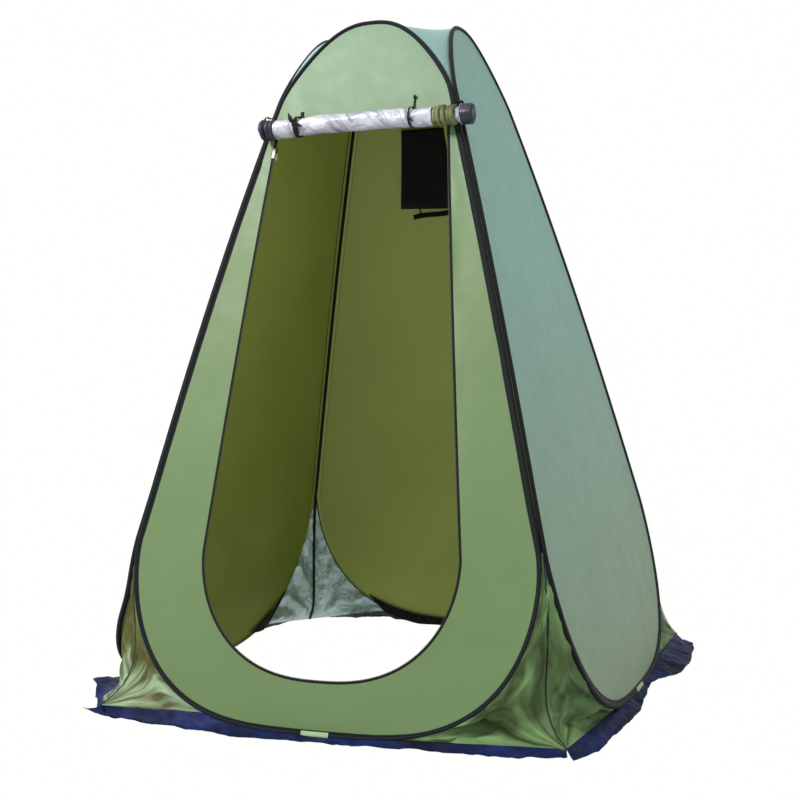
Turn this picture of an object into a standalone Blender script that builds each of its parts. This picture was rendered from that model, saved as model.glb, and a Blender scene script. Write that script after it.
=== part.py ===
"""Pop-up privacy shower tent: four sprung hoops, one in each leaning wall, joined along their seams.

Metres, +Z up. The origin is on the ground under the middle of the tent, and the doorway faces -Y.
Every wall is drawn as the front one, by its distance along the wall and its height, and is then
turned about Z into its own place.
"""

import math

import bpy
from mathutils import Matrix, Vector

# Overall shape
HEIGHT = 1.90
BASE_HALF = 0.687  # a wall's distance from the middle of the tent at the ground
TOP_HALF = 0.196  # and at the top
BOW = 0.0225  # how far a wall bows out of the straight line between those two
BOW_SKEW = 0.8  # the bow is fuller towards the top

# Hoops
WIRE_RADIUS = 0.00175
WIRE_END_GAP = 0.001  # half the gap between the wire's two ends
SLEEVE_RADIUS = 0.0055
SLEEVE_BORE = 0.0030
SLEEVE_SIDES = 6
SLEEVE_END = 0.032  # the sleeve stops this far from the bottom centre, on each side
FERRULE_HALF = 0.025
FERRULE_RADIUS = 0.0034
FERRULE_BORE = 0.0024
TAB_HALF = 0.038
TAB_RADIUS = 0.0068
TAB_BORE = 0.0060
FLAT_HALF = 0.045  # half the straight stretch at the bottom of a hoop
HOOP_LOW = 0.010
HOOP_HIGH = HEIGHT - SLEEVE_RADIUS
SEAM_LOW = 0.478  # between these heights neighbouring hoops run side by side
SEAM_HIGH = 1.685
SEAM_INSET = 0.0105  # a hoop runs this far inside the corner
LOW_ARC_POWERS = (3.161, 1.448)  # fullness of the arcs, sideways and upwards; 2 is an ellipse
HIGH_ARC_POWERS = (2.586, 1.458)
LOW_ARC_STEPS = 8
SIDE_STEPS = 7
HIGH_ARC_STEPS = 7
POINTS_BEFORE_ARC = 2  # a hoop half's points before its low arc: the bottom centre and the flat's end

# Axes that the walls fold about: distances from the middle, both ways, at the ground and at the top
CLOSING_HINGE = (0.6770, 0.1860)  # just inside a corner whose walls close face to face
OPENING_HINGE = (0.7085, 0.2335)  # just outside a corner whose walls open out flat

# Cloth
CLOTH_HALF = 0.0008  # half the thickness of a sheet of cloth
CLOTH_TO_HOOP = 0.0074  # from a hoop's centreline to the edge of a panel or gusset
ROOF_INSET = 0.0085  # the roof's edge runs this far inside the hoops
ROOF_SAG = 0.010
GUSSET_FOOT = 0.645  # a gusset's corner at the ground, from the middle both ways
GUSSET_LOW = 0.0045
GUSSET_SEAM_GAP = 0.0018
SKIRT_THICKNESS = 0.0015
SKIRT_INNER = 0.6960
SKIRT_INNER_LOW = 0.0034
SKIRT_LANDING = 0.25  # the share of the width over which the skirt comes down to the ground

# Outer edge of each skirt: distance along the wall, distance from the middle
SKIRT_EDGES = {
    "front": [(-0.67, 0.712), (-0.50, 0.733), (-0.20, 0.755), (0.10, 0.750), (0.40, 0.732), (0.62, 0.722)],
    "right": [(-0.64, 0.728), (-0.45, 0.734), (-0.15, 0.735), (0.15, 0.738), (0.35, 0.752), (0.64, 0.760)],
    "back": [(-0.67, 0.740), (-0.35, 0.755), (0.00, 0.745), (0.35, 0.755), (0.67, 0.738)],
    "left": [(-0.66, 0.770), (-0.30, 0.775), (0.00, 0.765), (0.30, 0.778), (0.66, 0.780)],
}

# Doorway and its zip
DOOR_HALF_LOW = 0.3615
DOOR_HALF_HIGH = 0.250
DOOR_LOW = 0.142
DOOR_WIDEST = 0.450
DOOR_HIGH = 1.615
DOOR_ARC_POWERS = (2.5, 2.0)
DOOR_FIRST_STEP = 0.25  # the short first step of the door's low arc, in steps
ZIP_WIDTH = 0.008
ZIP_HALF_THICKNESS = 0.0012
DOOR_HEM = 0.0085  # from the zip's teeth to the cut edge of the panel

# Zip slider, in its own frame: along the zip, across it towards the panel, outwards
SLIDER_PARKED = 1.545  # its height when the door is open
SLIDER_TRAVEL_END = 1.245
SLIDER_LENGTH = 0.012
SLIDER_NOSE = 0.0055  # from the teeth to the slider's outer side
SLIDER_BACK = 0.0058
SLIDER_HALF = 0.0042
SLIDER_CHANNEL_HALF = 0.0027
SLIDER_CHANNEL_NOSE = 0.0016
BRIDGE_HALF_LENGTH = 0.0045
BRIDGE_HEIGHT = 0.0042
BRIDGE_WALL = 0.0012
BRIDGE_HALF_WIDTH = 0.0011
PULL_HALF_WIDTH = 0.0036
PULL_LENGTH = 0.026
PULL_HALF_THICKNESS = 0.0007
PULL_EYE_HALF_WIDTH = 0.0019
PULL_EYE_LENGTH = 0.0052
PULL_EYE_WALL = 0.0013
PULL_PIVOT_LIFT = 0.0017

# Rolled door
ROLL_Y = -0.3262
ROLL_Z = 1.599
ROLL_INNER = 0.006
ROLL_OUTER = 0.0253
ROLL_TURNS = 3
ROLL_STEPS_PER_TURN = 10
ROLL_MIDDLE = -0.0072
ROLL_HALF_LENGTH = 0.2334
ROLL_BOW = 0.004
ROLL_LENGTH_STEPS = 4
ROLL_SHEET_HALF = 0.0010
HEM_SIDES = 12
HEM_BORE = 0.012
LEFT_HEM = (-0.2845, -0.2411, 0.0290)  # from, to, radius
RIGHT_COIL = (0.2267, 0.2900, 0.0275)
RIGHT_HEM = (0.2903, 0.3360, 0.0290)

# Ties of the rolled door
TIE_X = {"left": -0.172, "right": 0.164}
TIE_HALF_WIDTH = 0.006
TIE_HALF_THICKNESS = 0.0007
TIE_RADIUS = 0.0284
TIE_OUTER_Z = 1.662
TIE_INNER_Z = 1.650
TIE_WRAP = (60.0, 335.0)  # from where the tie meets the roll to where it leaves it, in degrees
TIE_RETURN = 0.0084  # how far inside the panel it passes the top edge of the doorway
TIE_STEPS = 10
TIE_GAP = 0.0006
TOGGLE_RADIUS = 0.0035
TOGGLE_LENGTH = 0.026
TOGGLE_SIDES = 8
TOGGLE_ANGLE = 125.0
TOGGLE_TILT = 62.0

# Corner tabs for guy lines
GUY_TAB_Z = 1.635
GUY_TAB_HALF_THICKNESS = 0.0020
GUY_TAB_HALF_WIDTH = 0.0085
GUY_TAB_LENGTH = 0.019
GUY_TAB_START = 0.0015

# Pocket and towel strap on the inside of the back wall
POCKET_TOP = 1.655
POCKET_LOW = 1.420
POCKET_MIDDLE = 0.036
POCKET_HALF_TOP = 0.080
POCKET_HALF_LOW = 0.092
POCKET_DEPTH = 0.0200
POCKET_EDGE_HALF = 0.0010
POCKET_SINK = 0.0014  # gap between the pocket's pieces and the wall behind them
STRAP_FROM = (0.092, 1.396)
STRAP_TO = (-0.110, 1.412)
STRAP_HALF_HEIGHT = 0.0075
STRAP_HALF_THICKNESS = 0.0012
STRAP_OFF_WALL = 0.0045
STRAP_STEPS = 5
LINK_ALONG = 0.066
LINK_HALF_WIDTH = 0.0020

SIDES = ["front", "right", "back", "left"]

SAGE = (0.26, 0.38, 0.23, 1.0)
BLUE_SAGE = (0.23, 0.38, 0.33, 1.0)
OLIVE = (0.22, 0.30, 0.12, 1.0)
NAVY = (0.030, 0.038, 0.12, 1.0)
BINDING = (0.012, 0.020, 0.030, 1.0)
PALE_GREEN = (0.42, 0.60, 0.36, 1.0)
BLACK = (0.008, 0.008, 0.010, 1.0)
SILVER = (0.66, 0.66, 0.70, 1.0)
STEEL = (0.55, 0.55, 0.56, 1.0)
CREAM = (0.80, 0.78, 0.66, 1.0)


def material(name, colour, roughness, metallic=0.0):
    made = bpy.data.materials.new(name)
    made.use_nodes = True
    shader = made.node_tree.nodes["Principled BSDF"]
    shader.inputs["Base Color"].default_value = colour
    shader.inputs["Roughness"].default_value = roughness
    shader.inputs["Metallic"].default_value = metallic
    return made


def turned(side):
    """The turn about Z that carries the front wall to this side."""
    return Matrix.Rotation(math.radians(90 * SIDES.index(side)), 4, "Z")


def add_object(name, points, faces, colour, roughness=0.8, metallic=0.0, turn=None):
    """A mesh object with a material of its own, its points turned into place."""
    turn = turn or Matrix.Identity(4)
    mesh = bpy.data.meshes.new(name)
    mesh.from_pydata([turn @ Vector(p) for p in points], [], faces)
    mesh.shade_smooth()
    mesh.set_sharp_from_angle(angle=math.radians(40))
    mesh.materials.append(material(name, colour, roughness, metallic))
    made = bpy.data.objects.new(name, mesh)
    bpy.context.scene.collection.objects.link(made)
    return made


def place_origin(made, pivot):
    """Puts the object's origin on its joint without moving the piece."""
    made.data.transform(Matrix.Translation(-Vector(pivot)))
    made.location = pivot


# The walls and their outlines


def outward(z):
    """A wall's distance from the middle of the tent at a height."""
    t = z / HEIGHT
    bow = BOW * 4 * t * (1 - t) * (1 + BOW_SKEW * (t - 0.5))
    return BASE_HALF + (TOP_HALF - BASE_HALF) * t + bow


def on_wall(along, z, out=0.0):
    """A point of the front wall, or that far outside it."""
    return Vector((along, -(outward(z) + out), z))


def arc_share(degrees, powers):
    """Sideways and upwards shares of a superellipse's quarter, from its flat end."""
    sideways, upwards = powers
    angle = math.radians(degrees)
    return math.sin(angle) ** (2 / sideways), max(0.0, math.cos(angle)) ** (2 / upwards)


def low_arc(degrees):
    share, drop = arc_share(degrees, LOW_ARC_POWERS)
    z = SEAM_LOW - (SEAM_LOW - HOOP_LOW) * drop
    return share * (outward(z) - SEAM_INSET), z


def high_arc(share_from_top):
    """The high arc's sideways share and height, from the top centre (0) to the seam (1)."""
    share, rise = arc_share(90 * share_from_top, HIGH_ARC_POWERS)
    return share, SEAM_HIGH + (HOOP_HIGH - SEAM_HIGH) * rise


def hoop_half():
    """A hoop's right half from the bottom centre to the top centre, as (along, height)."""
    points = [(0.0, HOOP_LOW), (FLAT_HALF, HOOP_LOW)]
    points += [low_arc(90 * (i + 1) / LOW_ARC_STEPS) for i in range(LOW_ARC_STEPS)]
    for i in range(SIDE_STEPS):
        z = SEAM_LOW + (SEAM_HIGH - SEAM_LOW) * (i + 1) / SIDE_STEPS
        points.append((outward(z) - SEAM_INSET, z))
    for i in range(HIGH_ARC_STEPS):
        share, z = high_arc(1 - (i + 1) / HIGH_ARC_STEPS)
        points.append((share * (outward(z) - SEAM_INSET), z))
    return points


def door_half():
    """The doorway's right half, with a point for each point of the hoop's half."""
    points = []
    for i in [0, DOOR_FIRST_STEP] + list(range(1, LOW_ARC_STEPS + 1)):
        share, drop = arc_share(90 * i / LOW_ARC_STEPS, DOOR_ARC_POWERS)
        points.append((DOOR_HALF_LOW * share, DOOR_WIDEST - (DOOR_WIDEST - DOOR_LOW) * drop))
    for i in range(SIDE_STEPS):
        t = (i + 1) / SIDE_STEPS
        half = DOOR_HALF_LOW + (DOOR_HALF_HIGH - DOOR_HALF_LOW) * t
        points.append((half, DOOR_WIDEST + (DOOR_HIGH - DOOR_WIDEST) * t))
    for i in range(HIGH_ARC_STEPS):
        points.append((DOOR_HALF_HIGH * (1 - (i + 1) / HIGH_ARC_STEPS), DOOR_HIGH))
    return points


def full_loop(half):
    """The closed outline, counter-clockwise from its bottom centre."""
    return half + [(-u, z) for u, z in reversed(half[1:-1])]


def grown(loop, distance):
    """A closed counter-clockwise outline moved outwards by a distance."""
    moved = []
    for i, point in enumerate(loop):
        here = Vector(point)
        before = (here - Vector(loop[i - 1])).normalized()
        after = (Vector(loop[(i + 1) % len(loop)]) - here).normalized()
        normal = Vector((before.y + after.y, -before.x - after.x)).normalized()
        square = normal.dot(Vector((before.y, -before.x)))
        moved.append(tuple(here + normal * distance / square))
    return moved


def solid_sheet(name, points, faces, shift, colour, turn=None, roughness=0.8):
    """A sheet of cloth: the surface pushed both ways along shift, which its faces look along."""
    count = len(points)
    solid = [Vector(p) + shift for p in points] + [Vector(p) - shift for p in points]
    walls = list(faces) + [[i + count for i in reversed(f)] for f in faces]
    edges = {(f[i - 1], f[i]) for f in faces for i in range(len(f))}
    for a, b in sorted(edges):
        if (b, a) not in edges:
            walls.append([b, a, a + count, b + count])
    return add_object(name, solid, walls, colour, roughness, turn=turn)


def swept(name, path, normals, outer, colour, inner=None, turn=None, roughness=0.7, metallic=0.0):
    """A profile (or two, for a tube) carried along a path. Profile points are (across, outwards)."""
    rings = [outer] if inner is None else [outer, inner]
    sides = len(outer)
    points, faces = [], []
    for i, here in enumerate(path):
        tangent = (path[min(i + 1, len(path) - 1)] - path[max(i - 1, 0)]).normalized()
        normal = (normals[i] - tangent * normals[i].dot(tangent)).normalized()
        across = tangent.cross(normal)
        for ring in rings:
            points += [here + across * a + normal * b for a, b in ring]
    step = sides * len(rings)
    for i in range(len(path) - 1):
        for k in range(sides):
            n = (k + 1) % sides
            low, high = i * step, (i + 1) * step
            faces.append([low + k, low + n, high + n, high + k])
            if inner:
                faces.append([low + sides + n, low + sides + k, high + sides + k, high + sides + n])
    last = (len(path) - 1) * step
    if inner:
        for k in range(sides):
            n = (k + 1) % sides
            faces.append([k, sides + k, sides + n, n])
            faces.append([last + n, last + sides + n, last + sides + k, last + k])
    else:
        faces.append(list(range(sides))[::-1])
        faces.append([last + k for k in range(sides)])
    return add_object(name, points, faces, colour, roughness, metallic, turn)


def polygon(radius, sides, start=0.0):
    """A regular profile, clockwise when seen along the path."""
    steps = [start - 2 * math.pi * k / sides for k in range(sides)]
    return [(radius * math.cos(a), radius * math.sin(a)) for a in steps]


def rectangle(half_across, half_out):
    return [
        (half_across, half_out),
        (half_across, -half_out),
        (-half_across, -half_out),
        (-half_across, half_out),
    ]


# The pieces that every wall has

OUTWARDS = Vector((0, -1, 0))


def hoop_path(end):
    """The hoop's centreline, from one side of its bottom centre all the way round to the other."""
    half = hoop_half()
    loop = [(end, HOOP_LOW)] + half[1:] + [(-u, z) for u, z in reversed(half[1:-1])] + [(-end, HOOP_LOW)]
    return [on_wall(u, z) for u, z in loop]


def straight_piece(name, side, half, outer, inner, colour, roughness, metallic=0.0):
    """A short tube around the straight stretch at the bottom of a hoop."""
    path = [on_wall(-half, HOOP_LOW), on_wall(half, HOOP_LOW)]
    profile = polygon(outer, SLEEVE_SIDES)
    bore = polygon(inner, SLEEVE_SIDES)
    normals = [OUTWARDS] * len(path)
    swept(name, path, normals, profile, colour, bore, turned(side), roughness, metallic)


def hoop(side):
    wire = hoop_path(WIRE_END_GAP)
    normals = [OUTWARDS] * len(wire)
    round_wire = polygon(WIRE_RADIUS, 4)
    swept(f"{side}_hoop_wire", wire, normals, round_wire, STEEL, None, turned(side), 0.35, 1.0)
    sleeve = hoop_path(SLEEVE_END)
    skin = polygon(SLEEVE_RADIUS, SLEEVE_SIDES)
    bore = polygon(SLEEVE_BORE, SLEEVE_SIDES)
    swept(f"{side}_binding_sleeve", sleeve, normals, skin, BINDING, bore, turned(side), 0.75)
    straight_piece(f"{side}_hoop_ferrule", side, FERRULE_HALF, FERRULE_RADIUS, FERRULE_BORE, STEEL, 0.3, 1.0)
    straight_piece(f"{side}_joint_tab", side, TAB_HALF, TAB_RADIUS, TAB_BORE, PALE_GREEN, 0.8)


def plain_panel(side, colour):
    """A wall without an opening: rungs across the tent from edge to edge."""
    loop = grown(full_loop(hoop_half()), -CLOTH_TO_HOOP)
    count = len(loop)
    top = count // 2
    faces = [[0, 1, count - 1]]
    faces += [[i, i + 1, count - i - 1, count - i] for i in range(1, top - 1)]
    faces.append([top - 1, top, top + 1])
    points = [on_wall(u, z) for u, z in loop]
    solid_sheet(f"{side}_panel", points, faces, OUTWARDS * CLOTH_HALF, colour, turned(side))


def front_panel():
    """The front wall, a ring of cloth around the doorway."""
    outer = grown(full_loop(hoop_half()), -CLOTH_TO_HOOP)
    inner = grown(full_loop(door_half()), DOOR_HEM)
    count = len(outer)
    faces = []
    for i in range(count):
        n = (i + 1) % count
        faces.append([i, n, count + n, count + i])
    points = [on_wall(u, z) for u, z in outer + inner]
    solid_sheet("front_panel", points, faces, OUTWARDS * CLOTH_HALF, SAGE)


def gusset_corner(z):
    """The gusset seam's distance from the middle, both ways, at a height."""
    t = z / SEAM_LOW
    return GUSSET_FOOT + (outward(SEAM_LOW) - GUSSET_FOOT) * t


def gusset_edge():
    """The gusset's edge beside the hoop's low arc, from the ground to the seam, as (along, height)."""
    arc_end = POINTS_BEFORE_ARC + LOW_ARC_STEPS
    edge = grown(full_loop(hoop_half()), CLOTH_TO_HOOP)[POINTS_BEFORE_ARC:arc_end]
    return [(edge[0][0], GUSSET_LOW)] + edge


def gusset(side, hand):
    """Half a corner gusset: rungs from the hoop's low arc to the corner seam."""
    sign = 1 if hand == "right" else -1
    points, faces = [], []
    for along, z in gusset_edge():
        points.append(on_wall(sign * along, z))
        corner = gusset_corner(z)
        points.append(Vector((sign * (corner - GUSSET_SEAM_GAP), -corner, z)))
    for i in range(0, len(points) - 2, 2):
        for triangle in ([i, i + 1, i + 3], [i, i + 3, i + 2]):
            faces.append(triangle if sign > 0 else triangle[::-1])
    solid_sheet(f"{side}_gusset_{hand}", points, faces, OUTWARDS * CLOTH_HALF, OLIVE, turned(side))


def skirt(side):
    """The flap along the foot of a wall, which lies flat on the ground."""
    shift = Vector((0, 0, SKIRT_THICKNESS / 2))
    points, faces = [], []
    for along, outer in SKIRT_EDGES[side]:
        landing = SKIRT_INNER + (outer - SKIRT_INNER) * SKIRT_LANDING
        points.append(Vector((along, -SKIRT_INNER, SKIRT_INNER_LOW)) + shift)
        points.append(Vector((along, -landing, 0)) + shift)
        points.append(Vector((along, -outer, 0)) + shift)
    for i in range(0, len(points) - 3, 3):
        for k in (i, i + 1):
            faces.append([k + 1, k + 4, k + 3, k])
    solid_sheet(f"{side}_skirt", points, faces, shift, NAVY, turned(side), 0.6)


def roof():
    """The top sheet between the four hoops, level in the middle and running down to the seams."""
    steps = [i / HIGH_ARC_STEPS for i in range(-HIGH_ARC_STEPS, HIGH_ARC_STEPS + 1)]
    count = len(steps)
    points, faces = [], []
    for t in steps:
        for s in steps:
            z = high_arc(abs(s * t))[1] - ROOF_SAG * (1 - s * s) * (1 - t * t)
            half = outward(z) - ROOF_INSET
            x = math.copysign(high_arc(abs(s))[0], s) * half
            y = math.copysign(high_arc(abs(t))[0], t) * half
            points.append(Vector((x, y, z)))
    for row in range(count - 1):
        for i in range(row * count, row * count + count - 1):
            faces.append([i, i + 1, i + 1 + count, i + count])
    solid_sheet("roof", points, faces, Vector((0, 0, CLOTH_HALF)), SAGE)


# The door


def door_zip():
    """The fixed half of the door's zip, from one top corner of the doorway round to the other."""
    loop = grown(full_loop(door_half()), ZIP_WIDTH / 2)
    corner = 1 + LOW_ARC_STEPS + SIDE_STEPS
    route = loop[-corner:] + loop[: corner + 1]
    path = [on_wall(u, z) for u, z in route]
    profile = rectangle(ZIP_WIDTH / 2, ZIP_HALF_THICKNESS)
    swept("door_zip_tape", path, [OUTWARDS] * len(path), profile, BLACK)


def zip_line(z):
    """The line of the teeth on the left of the doorway."""
    t = (z - DOOR_WIDEST) / (DOOR_HIGH - DOOR_WIDEST)
    return on_wall(-(DOOR_HALF_LOW + (DOOR_HALF_HIGH - DOOR_HALF_LOW) * t), z)


def slider_frame():
    """The parked slider's place: its X runs down the zip, its Y across to the panel, its Z outwards."""
    start, end = zip_line(SLIDER_PARKED), zip_line(SLIDER_TRAVEL_END)
    down = (end - start).normalized()
    outer = (OUTWARDS - down * OUTWARDS.dot(down)).normalized()
    across = outer.cross(down)
    place = Matrix((down, across, outer)).transposed().to_4x4()
    return Matrix.Translation(start) @ place


def plate(outline, hole, half, place):
    """Points and faces of a flat plate with a hole, its outlines in the place's X and Z, thick in Y."""
    count = len(outline)
    points = []
    for y in (-half, half):
        for ring in (outline, hole):
            points += [place @ Vector((a, y, b)) for a, b in ring]
    faces = []
    for k in range(count):
        n = (k + 1) % count
        near_out, near_in, far_out, far_in = 0, count, 2 * count, 3 * count
        faces.append([near_out + k, near_out + n, near_in + n, near_in + k])
        faces.append([far_out + n, far_out + k, far_in + k, far_in + n])
        faces.append([near_out + n, near_out + k, far_out + k, far_out + n])
        faces.append([near_in + k, near_in + n, far_in + n, far_in + k])
    return points, faces


def box_outline(low, high):
    (a, b), (c, d) = low, high
    return [(a, b), (c, b), (c, d), (a, d)]


def join_piece(made, name, points, faces):
    """Unites a helper solid with a piece. The helper itself stays hidden."""
    helper = add_object(name, points, faces, STEEL)
    helper.hide_render = True
    helper.display_type = "WIRE"
    union = made.modifiers.new(name, "BOOLEAN")
    union.operation = "UNION"
    union.solver = "EXACT"
    union.object = helper


def bridge(place, flip):
    """The loop on a slider's face that the pull's eye hangs on."""
    foot = SLIDER_HALF - BRIDGE_WALL / 2
    top = SLIDER_HALF + BRIDGE_HEIGHT
    outline = box_outline((-BRIDGE_HALF_LENGTH, foot), (BRIDGE_HALF_LENGTH, top))
    hole_half = BRIDGE_HALF_LENGTH - BRIDGE_WALL
    hole = box_outline((-hole_half, SLIDER_HALF), (hole_half, top - BRIDGE_WALL))
    return plate(outline, hole, BRIDGE_HALF_WIDTH, place @ flip)


def zip_slider():
    """The slider: a channel open towards the panel, with a bridge on each face."""
    place = slider_frame()
    outline = [
        (SLIDER_BACK, SLIDER_HALF),
        (SLIDER_BACK, SLIDER_CHANNEL_HALF),
        (-SLIDER_CHANNEL_NOSE, SLIDER_CHANNEL_HALF),
        (-SLIDER_CHANNEL_NOSE, -SLIDER_CHANNEL_HALF),
        (SLIDER_BACK, -SLIDER_CHANNEL_HALF),
        (SLIDER_BACK, -SLIDER_HALF),
        (-SLIDER_NOSE, -SLIDER_HALF),
        (-SLIDER_NOSE, SLIDER_HALF),
    ]
    down = place.to_3x3() @ Vector((1, 0, 0))
    outer = place.to_3x3() @ Vector((0, 0, 1))
    middle = place.translation
    path = [middle - down * SLIDER_LENGTH / 2, middle + down * SLIDER_LENGTH / 2]
    made = swept("zip_slider", path, [outer, outer], outline, STEEL, roughness=0.35, metallic=1.0)
    join_piece(made, "slider_outer_bridge", *bridge(place, Matrix.Identity(4)))
    join_piece(made, "slider_inner_bridge", *bridge(place, Matrix.Rotation(math.pi, 4, "X")))
    place_origin(made, middle)


def zip_pull(name, face, direction):
    """A pull whose eye goes round a bridge. It hangs along a direction from its pivot."""
    place = slider_frame()
    across = place.to_3x3() @ Vector((0, 1, 0))
    outer = place.to_3x3() @ Vector((0, 0, 1))
    pivot = place.translation + outer * face * (SLIDER_HALF + PULL_PIVOT_LIFT)
    along = (direction - across * direction.dot(across)).normalized()
    frame = Matrix((along, across.cross(along), across)).transposed()
    hang = Matrix.Translation(pivot) @ frame.to_4x4()
    wall = PULL_EYE_WALL
    start = -wall / 2
    outline = box_outline((start, -PULL_HALF_WIDTH), (start + PULL_LENGTH, PULL_HALF_WIDTH))
    eye_end = start + wall + PULL_EYE_LENGTH
    eye = box_outline((start + wall, -PULL_EYE_HALF_WIDTH), (eye_end, PULL_EYE_HALF_WIDTH))
    points, faces = plate(outline, eye, PULL_HALF_THICKNESS, hang)
    made = add_object(name, points, faces, CREAM, 0.5)
    place_origin(made, pivot)


def roll_section():
    """The wound door's middle line in Y and Z: a spiral that ends in the web up to the panel."""
    points = []
    steps = ROLL_TURNS * ROLL_STEPS_PER_TURN
    for i in range(steps + 1):
        angle = 2 * math.pi * i / ROLL_STEPS_PER_TURN
        radius = ROLL_INNER + (ROLL_OUTER - ROLL_INNER) * i / steps
        points.append(Vector((ROLL_Y + radius * math.cos(angle), ROLL_Z + radius * math.sin(angle))))
    top = DOOR_HIGH + DOOR_HEM - CLOTH_TO_HOOP / 2
    points.append(Vector((-outward(top), top)))
    return points


def door_roll():
    """The rolled-up door: one sheet wound on itself, slightly higher in the middle of its length."""
    line = roll_section()
    low, high = [], []
    for i, here in enumerate(line):
        tangent = (line[min(i + 1, len(line) - 1)] - line[max(i - 1, 0)]).normalized()
        normal = Vector((tangent.y, -tangent.x))
        low.append(here - normal * ROLL_SHEET_HALF)
        high.append(here + normal * ROLL_SHEET_HALF)
    ring = low + high[::-1]
    count = len(ring)
    points, faces = [], []
    for j in range(ROLL_LENGTH_STEPS + 1):
        share = 2 * j / ROLL_LENGTH_STEPS - 1
        lift = ROLL_BOW * (1 - share * share)
        points += [Vector((ROLL_MIDDLE + share * ROLL_HALF_LENGTH, p.x, p.y + lift)) for p in ring]
    for j in range(ROLL_LENGTH_STEPS):
        for k in range(count):
            n = (k + 1) % count
            a, b = j * count, (j + 1) * count
            faces.append([b + k, b + n, a + n, a + k])
    last = ROLL_LENGTH_STEPS * count
    for k in range(len(line) - 1):
        faces.append([k + 1, count - 2 - k, count - 1 - k, k])
        faces.append([last + k, last + count - 1 - k, last + count - 2 - k, last + k + 1])
    add_object("door_roll", points, faces, SILVER, 0.5)


def roll_end(name, extent, colour):
    """A short wound tube at an end of the roll."""
    start, end, radius = extent
    path = [Vector((start, ROLL_Y, ROLL_Z)), Vector((end, ROLL_Y, ROLL_Z))]
    outer, bore = polygon(radius, HEM_SIDES), polygon(HEM_BORE, HEM_SIDES)
    swept(name, path, [OUTWARDS] * 2, outer, colour, bore)


def door_tie(hand):
    """A tie from the panel's outside, round the roll, to its inside."""
    x = TIE_X[hand]
    off = CLOTH_HALF + TIE_HALF_THICKNESS + TIE_GAP
    share = (x - ROLL_MIDDLE) / ROLL_HALF_LENGTH
    middle = Vector((x, ROLL_Y, ROLL_Z + ROLL_BOW * (1 - share * share)))
    path = [on_wall(x, TIE_OUTER_Z, off), on_wall(x, (TIE_OUTER_Z + DOOR_HIGH + DOOR_HEM) / 2, off)]
    normals = [OUTWARDS, OUTWARDS]
    first, last = TIE_WRAP
    for i in range(TIE_STEPS + 1):
        angle = math.radians(first + (last - first) * i / TIE_STEPS)
        spoke = Vector((0, math.cos(angle), math.sin(angle)))
        path.append(middle + spoke * TIE_RADIUS)
        normals.append(spoke)
    inward = -OUTWARDS
    path += [on_wall(x, DOOR_HIGH, -TIE_RETURN), on_wall(x, TIE_INNER_Z, -off)]
    normals += [inward, inward]
    profile = rectangle(TIE_HALF_WIDTH, TIE_HALF_THICKNESS)
    swept(f"door_tie_{hand}", path, normals, profile, BLACK)
    angle = math.radians(TOGGLE_ANGLE)
    spoke = Vector((0, math.cos(angle), math.sin(angle)))
    lift = TIE_RADIUS + TIE_HALF_THICKNESS + TOGGLE_RADIUS + TIE_GAP
    centre = middle + spoke * lift
    tilt = math.radians(TOGGLE_TILT)
    round_roll = Vector((0, -math.sin(angle), math.cos(angle)))
    axis = Vector((math.cos(tilt), 0, 0)) - round_roll * math.sin(tilt)
    ends = [centre - axis * TOGGLE_LENGTH / 2, centre + axis * TOGGLE_LENGTH / 2]
    profile = polygon(TOGGLE_RADIUS, TOGGLE_SIDES)
    swept(f"door_tie_{hand}_toggle", ends, [spoke, spoke], profile, BLACK, roughness=0.4)


# Small pieces at the corners and inside


def guy_tab(name, side):
    """A folded webbing tab on the corner to the right of a wall, standing out on the diagonal."""
    corner = on_wall(outward(GUY_TAB_Z), GUY_TAB_Z)
    diagonal = Vector((1, -1, 0)).normalized()
    start = corner + diagonal * GUY_TAB_START
    path = [start, start + diagonal * GUY_TAB_LENGTH]
    normal = Vector((0, 0, 1))
    profile = rectangle(GUY_TAB_HALF_THICKNESS, GUY_TAB_HALF_WIDTH)
    swept(name, path, [normal, normal], profile, BINDING, turn=turned(side))


def pocket():
    """A flat pocket: its front sheet, and the edge that joins its sides and foot to the wall."""
    turn = turned("back")
    half_top, half_low, middle = POCKET_HALF_TOP, POCKET_HALF_LOW, POCKET_MIDDLE
    corners = [
        (middle - half_low, POCKET_LOW),
        (middle + half_low, POCKET_LOW),
        (middle + half_top, POCKET_TOP),
        (middle - half_top, POCKET_TOP),
    ]
    front = [on_wall(s, z, -(POCKET_DEPTH + POCKET_SINK + CLOTH_HALF)) for s, z in corners]
    solid_sheet("pocket_front", front, [[0, 1, 2, 3]], OUTWARDS * CLOTH_HALF, BLACK, turn)
    inner = POCKET_SINK + CLOTH_HALF
    depth = (inner + POCKET_DEPTH) / 2
    order = [corners[3], corners[0], corners[1], corners[2]]
    path = [on_wall(s, z, -depth) for s, z in order]
    profile = rectangle(POCKET_EDGE_HALF, (POCKET_DEPTH - inner) / 2)
    swept("pocket_edge", path, [OUTWARDS] * len(path), profile, BLACK, turn=turn)


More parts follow.
